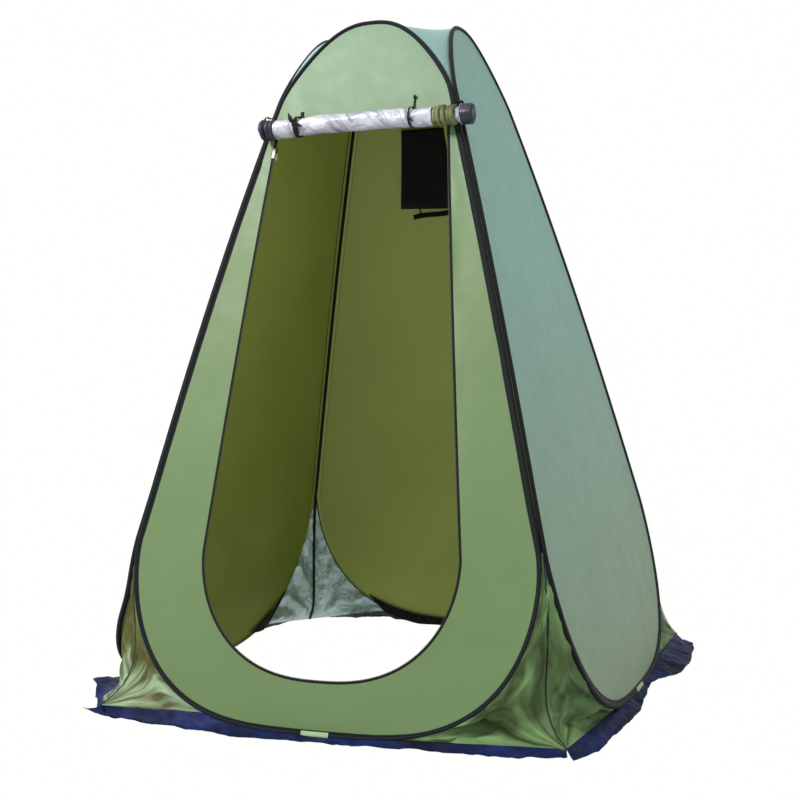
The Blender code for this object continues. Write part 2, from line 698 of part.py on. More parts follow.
def towel_strap():
    turn = turned("back")
    path = []
    for i in range(STRAP_STEPS + 1):
        t = i / STRAP_STEPS
        along = STRAP_FROM[0] + (STRAP_TO[0] - STRAP_FROM[0]) * t
        z = STRAP_FROM[1] + (STRAP_TO[1] - STRAP_FROM[1]) * t
        path.append(on_wall(along, z, -STRAP_OFF_WALL))
    profile = rectangle(STRAP_HALF_HEIGHT, STRAP_HALF_THICKNESS)
    swept("towel_strap", path, [OUTWARDS] * len(path), profile, BLACK, turn=turn)
    share = (LINK_ALONG - STRAP_FROM[0]) / (STRAP_TO[0] - STRAP_FROM[0])
    strap_top = STRAP_FROM[1] + (STRAP_TO[1] - STRAP_FROM[1]) * share + STRAP_HALF_HEIGHT
    low, high = strap_top + POCKET_SINK, POCKET_LOW - POCKET_EDGE_HALF - POCKET_SINK
    ends = [on_wall(LINK_ALONG, low, -STRAP_OFF_WALL), on_wall(LINK_ALONG, high, -STRAP_OFF_WALL)]
    profile = rectangle(LINK_HALF_WIDTH, STRAP_HALF_THICKNESS)
    swept("towel_strap_link", ends, [OUTWARDS] * 2, profile, BLACK, turn=turn)


# The fold


def fold_axis(name, hinge, corner, parent=None):
    """An empty on a fold's axis: at its foot on the ground, with its Z along the corner seam."""
    foot, top = [Vector((corner[0] * half, corner[1] * half, 0)) for half in hinge]
    top.z = HEIGHT
    made = bpy.data.objects.new(name, None)
    made.matrix_world = Matrix.Translation(foot) @ (top - foot).to_track_quat("Z", "Y").to_matrix().to_4x4()
    bpy.context.scene.collection.objects.link(made)
    if parent:
        hang(made, parent)
    return made


def hang(made, parent):
    """Parents an object without moving it."""
    bpy.context.view_layer.update()
    made.parent = parent
    made.matrix_parent_inverse = parent.matrix_world.inverted()


def hang_walls():
    """The front wall stands still: the side walls turn on it, and the back wall on the right one."""
    right = fold_axis("right_fold_axis", CLOSING_HINGE, (1, -1))
    left = fold_axis("left_fold_axis", OPENING_HINGE, (-1, -1))
    back = fold_axis("back_fold_axis", OPENING_HINGE, (1, 1), right)
    carried = {"right": right, "left": left, "back": back, "pocket": back, "towel": back}
    for made in list(bpy.data.objects):
        axis = carried.get(made.name.split("_")[0])
        if axis and made.type == "MESH":
            hang(made, axis)
    for face in ("outer", "inner"):
        hang(bpy.data.objects[f"zip_pull_{face}"], bpy.data.objects["zip_slider"])


def build():
    for old in list(bpy.data.objects):
        bpy.data.objects.remove(old)
    for side in SIDES:
        hoop(side)
        gusset(side, "left")
        gusset(side, "right")
        skirt(side)
    front_panel()
    plain_panel("right", BLUE_SAGE)
    plain_panel("back", BLUE_SAGE)
    plain_panel("left", BLUE_SAGE)
    roof()
    door_zip()
    zip_slider()
    down = slider_frame().to_3x3() @ Vector((1, 0, 0))
    zip_pull("zip_pull_outer", 1, down)
    zip_pull("zip_pull_inner", -1, Vector((0, 0, -1)))
    door_roll()
    roll_end("door_hem_left", LEFT_HEM, NAVY)
    roll_end("door_coil_right", RIGHT_COIL, OLIVE)
    roll_end("door_hem_right", RIGHT_HEM, NAVY)
    door_tie("left")
    door_tie("right")
    guy_tab("guy_tab_front_right", "front")
    guy_tab("guy_tab_front_left", "left")
    pocket()
    towel_strap()
    hang_walls()


build()
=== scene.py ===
"""Looks of the pop-up privacy shower tent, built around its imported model.

Metres, +Z up, the doorway faces -Y. Every wall is drawn as the front one, by its distance along the wall
and its height, and is then turned about Z to its own side, as in the CAD part.
"""

import math

import bpy
import numpy as np
from mathutils import Matrix, Vector, noise


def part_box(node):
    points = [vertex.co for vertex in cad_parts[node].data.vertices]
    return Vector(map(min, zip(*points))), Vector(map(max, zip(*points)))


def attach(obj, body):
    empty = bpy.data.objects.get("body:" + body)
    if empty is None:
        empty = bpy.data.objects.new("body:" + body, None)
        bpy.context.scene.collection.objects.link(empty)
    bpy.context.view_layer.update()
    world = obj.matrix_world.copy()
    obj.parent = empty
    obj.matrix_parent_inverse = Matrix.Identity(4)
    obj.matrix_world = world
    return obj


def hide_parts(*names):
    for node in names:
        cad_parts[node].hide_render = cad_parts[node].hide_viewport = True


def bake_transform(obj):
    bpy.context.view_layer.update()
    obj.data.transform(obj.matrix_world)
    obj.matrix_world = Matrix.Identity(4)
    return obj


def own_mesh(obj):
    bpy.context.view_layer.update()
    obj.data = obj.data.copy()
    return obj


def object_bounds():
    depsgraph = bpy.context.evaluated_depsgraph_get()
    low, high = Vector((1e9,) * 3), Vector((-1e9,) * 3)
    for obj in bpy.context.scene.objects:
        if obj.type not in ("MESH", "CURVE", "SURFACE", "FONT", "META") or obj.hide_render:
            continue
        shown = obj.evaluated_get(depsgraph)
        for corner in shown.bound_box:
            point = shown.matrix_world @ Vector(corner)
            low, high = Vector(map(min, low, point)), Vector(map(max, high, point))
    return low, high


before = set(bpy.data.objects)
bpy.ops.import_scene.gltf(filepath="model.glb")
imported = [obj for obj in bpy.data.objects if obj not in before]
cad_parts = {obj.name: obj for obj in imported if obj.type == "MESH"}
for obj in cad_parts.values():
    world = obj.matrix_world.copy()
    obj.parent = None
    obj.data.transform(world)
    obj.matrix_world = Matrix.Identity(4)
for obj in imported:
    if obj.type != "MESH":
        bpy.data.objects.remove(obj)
cad_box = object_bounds()

SIDES = ["front", "right", "back", "left"]

# The walls' profile, which the part defines
HEIGHT = round(cad_box[1].z, 4)
BASE_HALF = 0.687
TOP_HALF = 0.196
BOW = 0.0225
BOW_SKEW = 0.8
FLAT_HALF = 0.045
HOOP_LOW = 0.010
HOOP_HIGH = HEIGHT - 0.0055
SEAM_LOW = 0.478
SEAM_HIGH = 1.685
SEAM_INSET = 0.0105
LOW_ARC_POWERS = (3.161, 1.448)
HIGH_ARC_POWERS = (2.586, 1.458)
ARC_SAMPLES = 240
DOOR_HALF_LOW = 0.3615
DOOR_HALF_HIGH = 0.250
DOOR_LOW = 0.142
DOOR_WIDEST = 0.450
DOOR_HIGH = 1.615
DOOR_ARC_POWERS = (2.5, 2.0)
LOW_STEPS = 46
SIDE_STEPS = 56
HIGH_STEPS = 26

# Cloth, as thick as it is drawn
CLOTH = 0.0009
THIN_CLOTH = 0.0007
GUSSET_CLOTH = 0.0006
ROLLED_CLOTH = 0.0005
NETTING = 0.0008
HEM_CLOTH = 0.0014  # folded double
CLOTH_EDGE = 0.0050  # the cloth ends this far inside a hoop's centreline, under the binding
WIRE_RADIUS = 0.00175
BINDING_RADIUS = 0.0058
BINDING_FLANGE = 0.0125
BINDING_FLANGE_HALF = 0.0016
# At a foot the tape is rolled under, narrower, or turned outwards, wider: hand, share
BINDING_TWISTS = {"front": [(1, -0.38), (-1, -0.22)], "right": [(-1, 0.3)], "left": [(1, 0.7)]}
LINING_HIGH = 1.75  # above this a hoop's inside shows over the roof

# Corner gussets and tapes
GUSSET_EDGE = 0.0028
OPEN_CORNER = "back_left"  # where the fold's chain of walls is open
GUSSET_ROWS = 44
GUSSET_COLUMNS = 26
GUSSET_SPARE = 0.022  # cut this share larger than its sewn edges
CLOTH_FRAMES = 36
CLOTH_SETTINGS = {"quality": 7, "mass": 0.12, "tension_stiffness": 18, "compression_stiffness": 18,
                  "shear_stiffness": 9, "bending_stiffness": 1.2, "air_damping": 2.0}
FOLD_WIDTH = 0.030
TAPE_INSET = 0.0112
LEFT_FOOT_PUSH = (0.045, 0.016)

# Each gusset, round from the front right corner: the height where its lower edge leaves the hoop, its foot's
# height and distance, how far its seam sags inwards and at what share of its height, how full its folds are,
# its creases
GUSSETS = {
    "front_right": (0.014, 0.018, 0.645, 0.070, 0.25, 1.0, 3),
    "back_right": (0.030, 0.020, 0.672, 0.030, 0.30, 1.0, 8),
    "back_left": (0.045, 0.004, 0.645, 0.028, 0.22, 1.0, 12),
    "front_left": (0.034, 0.030, 0.656, 0.066, 0.36, 0.5, 15),
}

# Outer edge of each skirt: distance along the wall, distance from the middle
SKIRT_EDGES = {
    "front": [(-0.746, 0.617), (-0.62, 0.672), (-0.504, 0.690), (-0.203, 0.734), (0.056, 0.722), (0.239, 0.707),
              (0.492, 0.696), (0.561, 0.690), (0.601, 0.692), (0.648, 0.650)],
    "right": [(-0.672, 0.666), (-0.578, 0.709), (-0.205, 0.731), (0.090, 0.703), (0.145, 0.710), (0.190, 0.742),
              (0.230, 0.762), (0.345, 0.768), (0.530, 0.752), (0.620, 0.738), (0.672, 0.700)],
    "back": [(-0.676, 0.676), (-0.55, 0.735), (-0.20, 0.742), (0.10, 0.728), (0.40, 0.748), (0.70, 0.700)],
    "left": [(-0.690, 0.690), (-0.45, 0.760), (-0.10, 0.785), (0.141, 0.822), (0.300, 0.822), (0.440, 0.829),
             (0.535, 0.705), (0.648, 0.650)],
}
SKIRT_LIFTS = {"left": (0.42, 0.032, 0.09)}  # along the wall, height, spread
SKIRT_ROWS = 14
SKIRT_COLUMNS = 150
FOOT_BAND_DEPTH = 0.034

# Rolled door and its ties
ZIP_LENGTH = 3.4
ZIP_PITCH = 0.0034
ZIP_TAPE_HALF = 0.0034
ZIP_TOOTH_HALF = (0.0009, 0.0018, 0.0012)  # along the zip, across it, outwards
ROLL_Y = -0.3262
ROLL_Z = 1.599
ROLL_INNER = 0.006
ROLL_OUTER = 0.0258
ROLL_TURNS = 13
ROLL_STEPS = 30
ROLL_MIDDLE = -0.0072
ROLL_HALF_LENGTH = 0.2334
ROLL_BOW = 0.004
ROLL_SIDES = 40
HEM_TURNS = 5
HEM_INNER = 0.008
HEM_OUTER = 0.0272
LEFT_HEM = (-0.2845, -0.2411)
RIGHT_COIL = (0.2267, 0.2900)
RIGHT_HEM = (0.2903, 0.3360)
TIE_X = {"left": -0.172, "right": 0.164}
TIE_WRAP = (60.0, 335.0)
TIE_RADIUS = 0.0284
TIE_HALF_THICK = 0.0007
TIE_OUTER_Z = 1.662
TIE_INNER_Z = 1.650
TIE_LEAN = 0.010  # the outer end is this far to the left of the band round the roll

# Small pieces
GUY_Z = 1.635
POCKET_HIGH = 1.655
POCKET_LOW = 1.420
POCKET_MIDDLE = 0.036
POCKET_HALF_TOP = (0.078, 0.062)  # to each side of its middle
POCKET_HALF_LOW = (0.092, 0.097)
STRAP_FROM = (0.092, 1.396)
STRAP_TO = (-0.110, 1.412)
LINK_ALONG = 0.066

# Colours, as they look in daylight (sRGB shares)
# Outside walls: each upper colour is its lower one made paler, painted sky light on the upper cloth.
SAGE = (0.36, 0.465, 0.37)
SAGE_LOW = (0.308, 0.402, 0.236)
BLUE_SAGE = (0.345, 0.55, 0.505)
BLUE_SAGE_LOW = (0.325, 0.43, 0.285)
ROOF = (0.41, 0.535, 0.53)
# Insides: the cloth's own olive, made paler for the light that comes through the cloth and paler up high: painted
# light.
OLIVE_INSIDE = (0.66, 0.71, 0.42)
OLIVE_INSIDE_LOW = (0.455, 0.50, 0.245)
# The left wall's inside: the same olive darker, painted shade.
OLIVE_SHADED = (0.62, 0.665, 0.34)
OLIVE_SHADED_LOW = (0.335, 0.375, 0.11)
# Gusset colours: the dark and the brown one are painted shade along the folds.
GUSSET_OLIVE = (0.38, 0.50, 0.32)
GUSSET_FOLD_SHADE = (0.15, 0.165, 0.06)
# Painted light: the front left gusset's cloth low down is paler.
GUSSET_PAINTED_LIGHT = (0.49, 0.58, 0.46)
GUSSET_YELLOW = (0.34, 0.39, 0.19)
GUSSET_BROWN_FOLD_SHADE = (0.24, 0.23, 0.09)
COIL_OLIVE = (0.40, 0.45, 0.27)
COIL_DARK = (0.22, 0.22, 0.12)
SILVER = (0.60, 0.69, 0.69)
SILVER_DARK = (0.43, 0.51, 0.46)
# The lining's dark colour is painted shade along its diagonal folds.
LINING = (0.66, 0.67, 0.71)
LINING_FOLD_SHADE = (0.33, 0.36, 0.44)
NAVY = (0.058, 0.112, 0.29)
NAVY_DARK = (0.028, 0.050, 0.15)
NAVY_END = (0.055, 0.070, 0.13)
BINDING = (0.022, 0.045, 0.064)
BLACK = (0.035, 0.035, 0.040)
TAB_GREEN = (0.50, 0.62, 0.46)
CREAM = (0.86, 0.84, 0.72)
SKY = (1.0, 1.0, 0.985, 1.0)  # already linear

# Threads and stitches in the materials
THREAD_PITCH = 0.0009
STITCH_PITCH = 0.0042
WAVE_REPEATS = 3.183  # how often a wave texture of scale 1 repeats in a metre


# Materials


def linear(colour):
    return tuple(c / 12.92 if c <= 0.04045 else ((c + 0.055) / 1.055) ** 2.4 for c in colour) + (1.0,)


class Nodes:
    """A material's node tree, with short calls for what the materials here use."""

    def __init__(self, name, roughness, metallic=0.0, sheen=0.0, specular=0.5):
        self.material = bpy.data.materials.new(name)
        self.material.use_nodes = True
        self.tree = self.material.node_tree
        self.shader = self.tree.nodes["Principled BSDF"].inputs
        self.shader["Roughness"].default_value = roughness
        self.shader["Metallic"].default_value = metallic
        self.shader["Sheen Weight"].default_value = sheen
        self.shader["Specular IOR Level"].default_value = specular
        self.relief = None
        coordinates = self.node("TexCoord", {})
        self.place, self.uv = coordinates["Object"], coordinates["UV"]

    def feed(self, socket, value):
        if isinstance(value, bpy.types.NodeSocket):
            self.tree.links.new(value, socket)
        else:
            socket.default_value = value

    def node(self, kind, inputs, **settings):
        """The outputs of a new node, with its settings made and its inputs linked or set."""
        made = self.tree.nodes.new("ShaderNode" + kind)
        for name, value in settings.items():
            setattr(made, name, value)
        for key, value in inputs.items():
            self.feed(made.inputs[key], value)
        return made.outputs

    def noise(self, size, detail=3.0, distortion=0.0, place=None, stretch=(1, 1, 1), turn=0.0):
        """Noise with features about size metres across, turned before it is stretched."""
        scale = tuple(1 / share for share in stretch)
        inputs = {"Vector": place or self.place, "Rotation": (0, 0, turn), "Scale": scale}
        place = self.node("Mapping", inputs, vector_type="TEXTURE")[0]
        inputs = {"Vector": place, "Scale": 1 / size, "Detail": detail, "Distortion": distortion}
        return self.node("TexNoise", inputs)["Fac"]

    def axis(self, vector, letter):
        return self.node("SeparateXYZ", {0: vector})[letter]

    def math(self, operation, a, b=0.0):
        return self.node("Math", {0: a, 1: b}, operation=operation)[0]

    def spread(self, value, low, high, to_low=0.0, to_high=1.0):
        """The value's range from low to high, stretched to 0..1 or to another range."""
        inputs = {"Value": value, "From Min": low, "From Max": high, "To Min": to_low, "To Max": to_high}
        return self.node("MapRange", inputs)["Result"]

    def mix(self, share, a, b):
        """Colour a, or b where the share is 1. The node's colours are its sockets 6 and 7."""
        return self.node("Mix", {0: share, 6: a, 7: b}, data_type="RGBA")[2]

    def weave(self, pitch):
        """Threads both ways across the cloth, from its own coordinates in metres."""
        inputs = {"Vector": self.uv, "Scale": 1 / (pitch * WAVE_REPEATS)}
        threads = [self.node("TexWave", inputs, bands_direction=axis)["Fac"] for axis in "XY"]
        return self.math("MAXIMUM", *threads)

    def bump(self, height, distance, strength=1.0):
        """Adds relief to what the material has so far."""
        inputs = {"Distance": distance, "Strength": strength, "Height": height}
        if self.relief:
            inputs["Normal"] = self.relief
        self.relief = self.node("Bump", inputs)["Normal"]
        self.feed(self.shader["Normal"], self.relief)

    def colour(self, value):
        self.feed(self.shader["Base Color"], value)

    def roughness(self, value, low, high):
        self.feed(self.shader["Roughness"], self.spread(value, 0.0, 1.0, low, high))


def wall_cloth(name, sky_lit_colour, low_colour, roughness=0.5, gloss=0.35, heights=(0.2, 1.9)):
    """Coated polyester on a wall, paler towards the top: painted sky light, where the cloth leans back to the
    sky.
    """
    n = Nodes(name, roughness, sheen=0.15 * (gloss > 0.2), specular=gloss)
    blotches = n.math("MULTIPLY", n.noise(0.30, 3.0), 0.3)
    # Painted sky light: the colour runs from the low colour up to the upper one with height, blotched a little.
    up = n.math("ADD", n.spread(n.axis(n.place, "Z"), *heights), blotches)
    body = n.mix(n.spread(up, 0.12, 1.15), linear(low_colour), linear(sky_lit_colour))
    grain = n.math("MULTIPLY", n.noise(0.004, 2.0, place=n.uv, stretch=(0.15, 1.5, 1)), 0.22)
    n.colour(n.mix(grain, body, linear(c * 0.93 for c in low_colour)))
    n.roughness(n.noise(0.05, 4.0), roughness - 0.08, roughness + 0.10)
    n.bump(n.noise(0.10, 2.0, 0.4), 0.0015, 0.6)
    n.bump(n.noise(0.022, 3.0, 0.8), 0.0005, 0.6)
    n.bump(n.weave(THREAD_PITCH), 0.00006, 0.5)
    return n.material


def crinkled_cloth(name, colour, dark, roughness, metallic, crinkle, size, gloss=0.5, streaks=None, pale=None):
    """Thin coated cloth that has been crushed: sharp little facets over softer ones.

    Streaks run along the texture's second direction: stretch, turn, from, to. Where they are given, the dark
    colour is painted shade along the folds that the first bump raises; elsewhere it is tone that differs at
    random.
    The colour low down, where given, is painted light.
    """
    n = Nodes(name, roughness, metallic, specular=gloss)
    if streaks:
        stretch, turn, low, high = streaks
        broad = n.spread(n.noise(size, 2.0, 0.2, n.uv, (1.0, stretch, 1), turn), low, high)
        # Painted shade: the dark colour lies along the same broad folds that the first bump raises.
        tone_and_fold_shade = n.math("MULTIPLY", broad, 0.9)
    else:
        broad = n.noise(size * 2.6, 2.0, 1.2)
        tone_and_fold_shade = n.spread(n.noise(size * 3, 2.0, 0.8), 0.36, 0.68)
    wander = n.node("TexNoise", {"Vector": n.place, "Scale": 1 / (size * 1.5)})["Color"]
    warped = n.node("VectorMath", {0: wander, 1: (0.02, 0.02, 0.02), 2: n.place}, operation="MULTIPLY_ADD")[0]
    facets = n.node("TexVoronoi", {"Vector": warped, "Scale": 1 / size}, feature="DISTANCE_TO_EDGE")
    creases = n.spread(facets["Distance"], 0.0, 0.35)
    body = linear(colour)
    # Painted light: the cloth low down is paler.
    if pale:
        up = n.math("ADD", n.axis(n.place, "Z"), n.math("MULTIPLY", broad, 0.10))
        body = n.mix(n.spread(up, 0.13, 0.22), linear(pale), body)
    n.colour(n.mix(tone_and_fold_shade, body, linear(dark)))
    n.roughness(creases, roughness - 0.05, roughness + 0.12)
    n.bump(broad, crinkle * 1.8, 0.7)
    n.bump(creases, crinkle, 0.55)
    n.bump(n.noise(0.006, 3.0, 1.0), crinkle * 0.12, 0.6)
    n.bump(n.weave(THREAD_PITCH), 0.00006, 0.4)
    return n.material


def tape(name, colour, pitch=0.0011, stitches=None):
    """Woven tape or webbing. Stitches are a row at a distance across the tape."""
    n = Nodes(name, 0.72, sheen=0.06, specular=0.15)
    ribs = n.weave(pitch)
    body = n.mix(n.math("MULTIPLY", ribs, 0.8), linear(c * 0.62 for c in colour), linear(colour))
    if stitches:
        row = n.math("ABSOLUTE", n.math("SUBTRACT", n.axis(n.uv, "Y"), stitches))
        step = n.math("FRACT", n.math("MULTIPLY", n.axis(n.uv, "X"), 1 / STITCH_PITCH))
        thread = n.math("MULTIPLY", n.math("LESS_THAN", row, 0.0005), n.math("LESS_THAN", step, 0.68))
        body = n.mix(thread, body, linear(min(1.0, c * 2.4 + 0.05) for c in colour))
        n.bump(thread, 0.0004, 0.8)
    n.colour(body)
    n.bump(ribs, 0.00018, 0.7)
    n.bump(n.noise(0.02, 3.0), 0.0006, 0.5)
    return n.material


def mesh_cloth(name, colour):
    """Close black netting."""
    n = Nodes(name, 0.85, sheen=0.1, specular=0.2)
    holes = n.weave(0.0020)
    n.colour(n.mix(holes, linear(c * 0.35 for c in colour), linear(colour)))
    n.bump(holes, 0.0004, 0.8)
    n.bump(n.noise(0.03, 3.0), 0.0020, 0.5)
    return n.material


def plain_finish(name, colour, roughness, metallic=0.0):
    """Moulded plastic or metal with a little unevenness."""
    n = Nodes(name, roughness, metallic)
    cloud = n.noise(0.006, 4.0)
    n.colour(n.mix(n.math("MULTIPLY", cloud, 0.7), linear(colour), linear(c * 0.8 for c in colour)))
    n.roughness(cloud, max(0.05, roughness - 0.1), roughness + 0.1)
    n.bump(n.noise(0.0006, 2.0), 0.00003, 0.5)
    return n.material


# Each material: its slot, what makes it, and what that is told after the name
FINISHES = {
    "front_outside": ("sage_cloth", wall_cloth, SAGE, SAGE_LOW, 0.5, 0.35, (1.25, 1.85)),
    "wall_outside": ("blue_sage_cloth", wall_cloth, BLUE_SAGE, BLUE_SAGE_LOW, 0.5, 0.35, (0.1, 1.2)),
    "wall_inside": ("sage_cloth", wall_cloth, OLIVE_INSIDE, OLIVE_INSIDE_LOW, 0.7, 0.12),
    "left_inside_shaded": ("sage_cloth", wall_cloth, OLIVE_SHADED, OLIVE_SHADED_LOW, 0.7, 0.12),
    "roof_outside": ("sage_cloth", wall_cloth, ROOF, ROOF),
    "gusset_outside": ("gusset_cloth", crinkled_cloth, GUSSET_OLIVE, GUSSET_FOLD_SHADE, 0.62, 0, 0.0014,
                       0.10, 0.16, (0.30, 0.05, 0.36, 0.66)),
    "gusset_front_left": ("gusset_cloth", crinkled_cloth, GUSSET_YELLOW, GUSSET_BROWN_FOLD_SHADE, 0.55, 0, 0.0016,
                          0.10, 0.2, (0.55, 0.1, 0.38, 0.56), GUSSET_PAINTED_LIGHT),
    "silver": ("silver_cloth", crinkled_cloth, SILVER, SILVER_DARK, 0.36, 0.25, 0.0026, 0.022),
    "lining": ("silver_cloth", crinkled_cloth, LINING, LINING_FOLD_SHADE, 0.42, 0.1, 0.0012, 0.021, 0.5,
               (0.16, 0.95, 0.44, 0.70)),
    "skirt": ("skirt_cloth", crinkled_cloth, NAVY, NAVY_DARK, 0.62, 0, 0.0012, 0.035, 0.12),
    "skirt_inside": ("black_cloth", crinkled_cloth, BLACK, BLACK, 0.70, 0, 0.0010, 0.035, 0.1),
    "hem": ("skirt_cloth", crinkled_cloth, NAVY_END, NAVY_DARK, 0.50, 0, 0.0010, 0.02),
    "coil": ("gusset_cloth", crinkled_cloth, COIL_OLIVE, COIL_DARK, 0.55, 0, 0.0010, 0.02),
    "binding": ("binding", tape, BINDING, 0.0011, 0.009),
    "zip_tape": ("binding", tape, BLACK),
    "webbing": ("black_cloth", tape, BLACK, 0.0016),
    "joint_tab": ("joint_tab_cloth", wall_cloth, TAB_GREEN, TAB_GREEN, 0.6),
    "netting": ("black_cloth", mesh_cloth, BLACK),
    "spring_wire": ("spring_steel", plain_finish, (0.72, 0.72, 0.73), 0.3, 1.0),
    "zip_metal": ("zip_metal", plain_finish, (0.13, 0.13, 0.14), 0.4, 0.6),
    "zip_teeth": ("zip_metal", plain_finish, (0.04, 0.04, 0.045), 0.65),
    "pull_plastic": ("pull_plastic", plain_finish, CREAM, 0.5),
    "toggle_plastic": ("toggle_plastic", plain_finish, BLACK, 0.35),
}
MATERIALS = {name: maker(name, *told) for name, (_, maker, *told) in FINISHES.items()}


# Wall shape


def outward(z):
    """A wall's distance from the middle of the tent at a height."""
    t = np.asarray(z) / HEIGHT
    return BASE_HALF + (TOP_HALF - BASE_HALF) * t + BOW * 4 * t * (1 - t) * (1 + BOW_SKEW * (t - 0.5))


def on_wall(along, z, out=0.0):
    """Points of the front wall, or that far outside it."""
    along, z, out = np.broadcast_arrays(np.asarray(along, float), np.asarray(z, float), out)
    return np.stack([along, -(outward(z) + out), z], -1)


def turned(points, side):
    """Carries points of the front wall to another side."""
    angle = math.radians(90 * SIDES.index(side))
    x, y, z = np.moveaxis(np.asarray(points, float), -1, 0)
    cos, sin = math.cos(angle), math.sin(angle)
    return np.stack([cos * x - sin * y, sin * x + cos * y, z], -1)


def standing(points, side):
    """In place on its side. The left hoop's front foot stands further out than its mirror would."""
    placed = np.array(turned(points, side))
    if side == "left":
        x, y, z = np.moveaxis(placed, -1, 0)
        near = np.clip((y - x) / 0.10, 0, 1)
        near = near * near * (3 - 2 * near) * np.clip((0.80 + x) / 0.08, 0, 1)
        near = near * np.exp(-(((z - 0.10) / 0.19) ** 2) - ((y + 0.50) / 0.28) ** 2)
        placed[..., :2] -= near[..., None] * LEFT_FOOT_PUSH
    return placed


def quarter(powers, start=0.0, end=90.0):
    """Sideways and upwards shares along a superellipse's quarter, from its flat end."""
    angles = np.radians(np.linspace(start, end, ARC_SAMPLES))
    sideways, upwards = powers
    return np.sin(angles) ** (2 / sideways), np.maximum(np.cos(angles), 0) ** (2 / upwards)


def travelled(line):
    """How far along a line each of its points is."""
    return np.concatenate([[0], np.cumsum(np.linalg.norm(np.diff(line, axis=0), axis=1))])


def spaced(line, count):
    """count steps of equal length along a line of points."""
    line = np.asarray(line, float)
    far = travelled(line)
    at = np.linspace(0, far[-1], count + 1)
    return np.stack([np.interp(at, far, line[:, k]) for k in range(line.shape[1])], 1)


def joined(*sections):
    """Sections end to end, each one's first point left out but the first's."""
    return np.concatenate([sections[0]] + [s[1:] for s in sections[1:]])


def hoop_half():
    """A hoop's right half from the bottom centre to the top centre, as (along, height)."""
    share, drop = quarter(LOW_ARC_POWERS)
    z = SEAM_LOW - (SEAM_LOW - HOOP_LOW) * drop
    low = np.stack([np.maximum(share * (outward(z) - SEAM_INSET), FLAT_HALF * share), z], 1)
    z = np.linspace(SEAM_LOW, SEAM_HIGH, ARC_SAMPLES)
    side = np.stack([outward(z) - SEAM_INSET, z], 1)
    share, rise = quarter(HIGH_ARC_POWERS, 90, 0)
    z = SEAM_HIGH + (HOOP_HIGH - SEAM_HIGH) * rise
    high = np.stack([share * (outward(z) - SEAM_INSET), z], 1)
    return joined(spaced(low, LOW_STEPS), spaced(side, SIDE_STEPS), spaced(high, HIGH_STEPS))


def door_half():
    """The doorway's right half, with a point for each of the hoop's."""
    share, drop = quarter(DOOR_ARC_POWERS)
    low = np.stack([DOOR_HALF_LOW * share, DOOR_WIDEST - (DOOR_WIDEST - DOOR_LOW) * drop], 1)
    corner = (DOOR_HALF_HIGH, DOOR_HIGH)
    side = [(DOOR_HALF_LOW, DOOR_WIDEST), corner]
    high = [corner, (0, DOOR_HIGH)]
    return joined(spaced(low, LOW_STEPS), spaced(side, SIDE_STEPS), spaced(high, HIGH_STEPS))


def full_loop(half):
    """The closed outline, counter-clockwise from its bottom centre."""
    return np.concatenate([half, (half[1:-1] * (-1, 1))[::-1]])


def unit(vectors):
    return vectors / np.linalg.norm(vectors, axis=-1, keepdims=True)


def right_of(tangent):
    """The direction to the right of each flat direction."""
    return np.stack([tangent[:, 1], -tangent[:, 0]], 1)


def grown(loop, distance):
    """A closed counter-clockwise outline moved outwards by a distance."""
    return loop + distance * right_of(unit(np.roll(loop, -1, 0) - np.roll(loop, 1, 0)))


HOOP = full_loop(hoop_half())
DOOR = full_loop(door_half())
OUTWARDS = np.array([0.0, -1.0, 0.0])


def uneven(points, size, seed, octaves=2):
    """Smooth noise in about -1..1 with features of about size metres, the same each run."""
    shift = Vector((seed * 7.31, seed * 3.17, seed * 5.71))
    flat = np.asarray(points, float).reshape(-1, 3) / size
    values = [noise.fractal(Vector(p) + shift, 1.0, 2.0, octaves) for p in flat]
    return np.array(values).reshape(np.shape(points)[:-1])


# Meshes


def make_object(name, body, points, faces, materials, face_materials=None, uvs=None, sharp=55, nodes=()):
    """A mesh that rides on a body, if one is given, and stands for some of the CAD's nodes.

    uvs has one pair for each point, in metres along the cloth.
    """
    mesh = bpy.data.meshes.new(name)
    mesh.from_pydata([tuple(p) for p in points], [], [tuple(int(i) for i in f) for f in faces])
    for key in materials:
        mesh.materials.append(MATERIALS[key])
    if face_materials is not None:
        mesh.polygons.foreach_set("material_index", np.asarray(face_materials, np.int32))
    if uvs is not None:
        layer = mesh.uv_layers.new(name="cloth")
        corners = np.zeros(len(mesh.loops), np.int32)
        mesh.loops.foreach_get("vertex_index", corners)
        layer.data.foreach_set("uv", np.asarray(uvs, np.float32)[corners].ravel())
    mesh.shade_smooth()
    mesh.set_sharp_from_angle(angle=math.radians(sharp))
    made = bpy.data.objects.new(name, mesh)
    bpy.context.scene.collection.objects.link(made)
    if body:
        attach(made, body)
    if nodes:
        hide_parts(*nodes)
    return made


def lengths_along(grid):
    """Cloth coordinates of a grid of points: lengths along its rows and up its columns."""
    across = np.linalg.norm(np.diff(grid, axis=1), axis=2)
    up = np.linalg.norm(np.diff(grid, axis=0), axis=2)
    u = np.concatenate([np.zeros((len(grid), 1)), np.cumsum(across, 1)], 1)
    v = np.concatenate([np.zeros((1, grid.shape[1])), np.cumsum(up, 0)], 0)
    return np.stack([u - u[:, -1:] / 2, v], 2)


def grid_normals(grid, wrap=False):
    along = np.roll(grid, -1, 1) - np.roll(grid, 1, 1) if wrap else np.gradient(grid, axis=1)
    normal = np.cross(along, np.gradient(grid, axis=0))
    return normal / np.maximum(np.linalg.norm(normal, axis=2), 1e-12)[..., None]


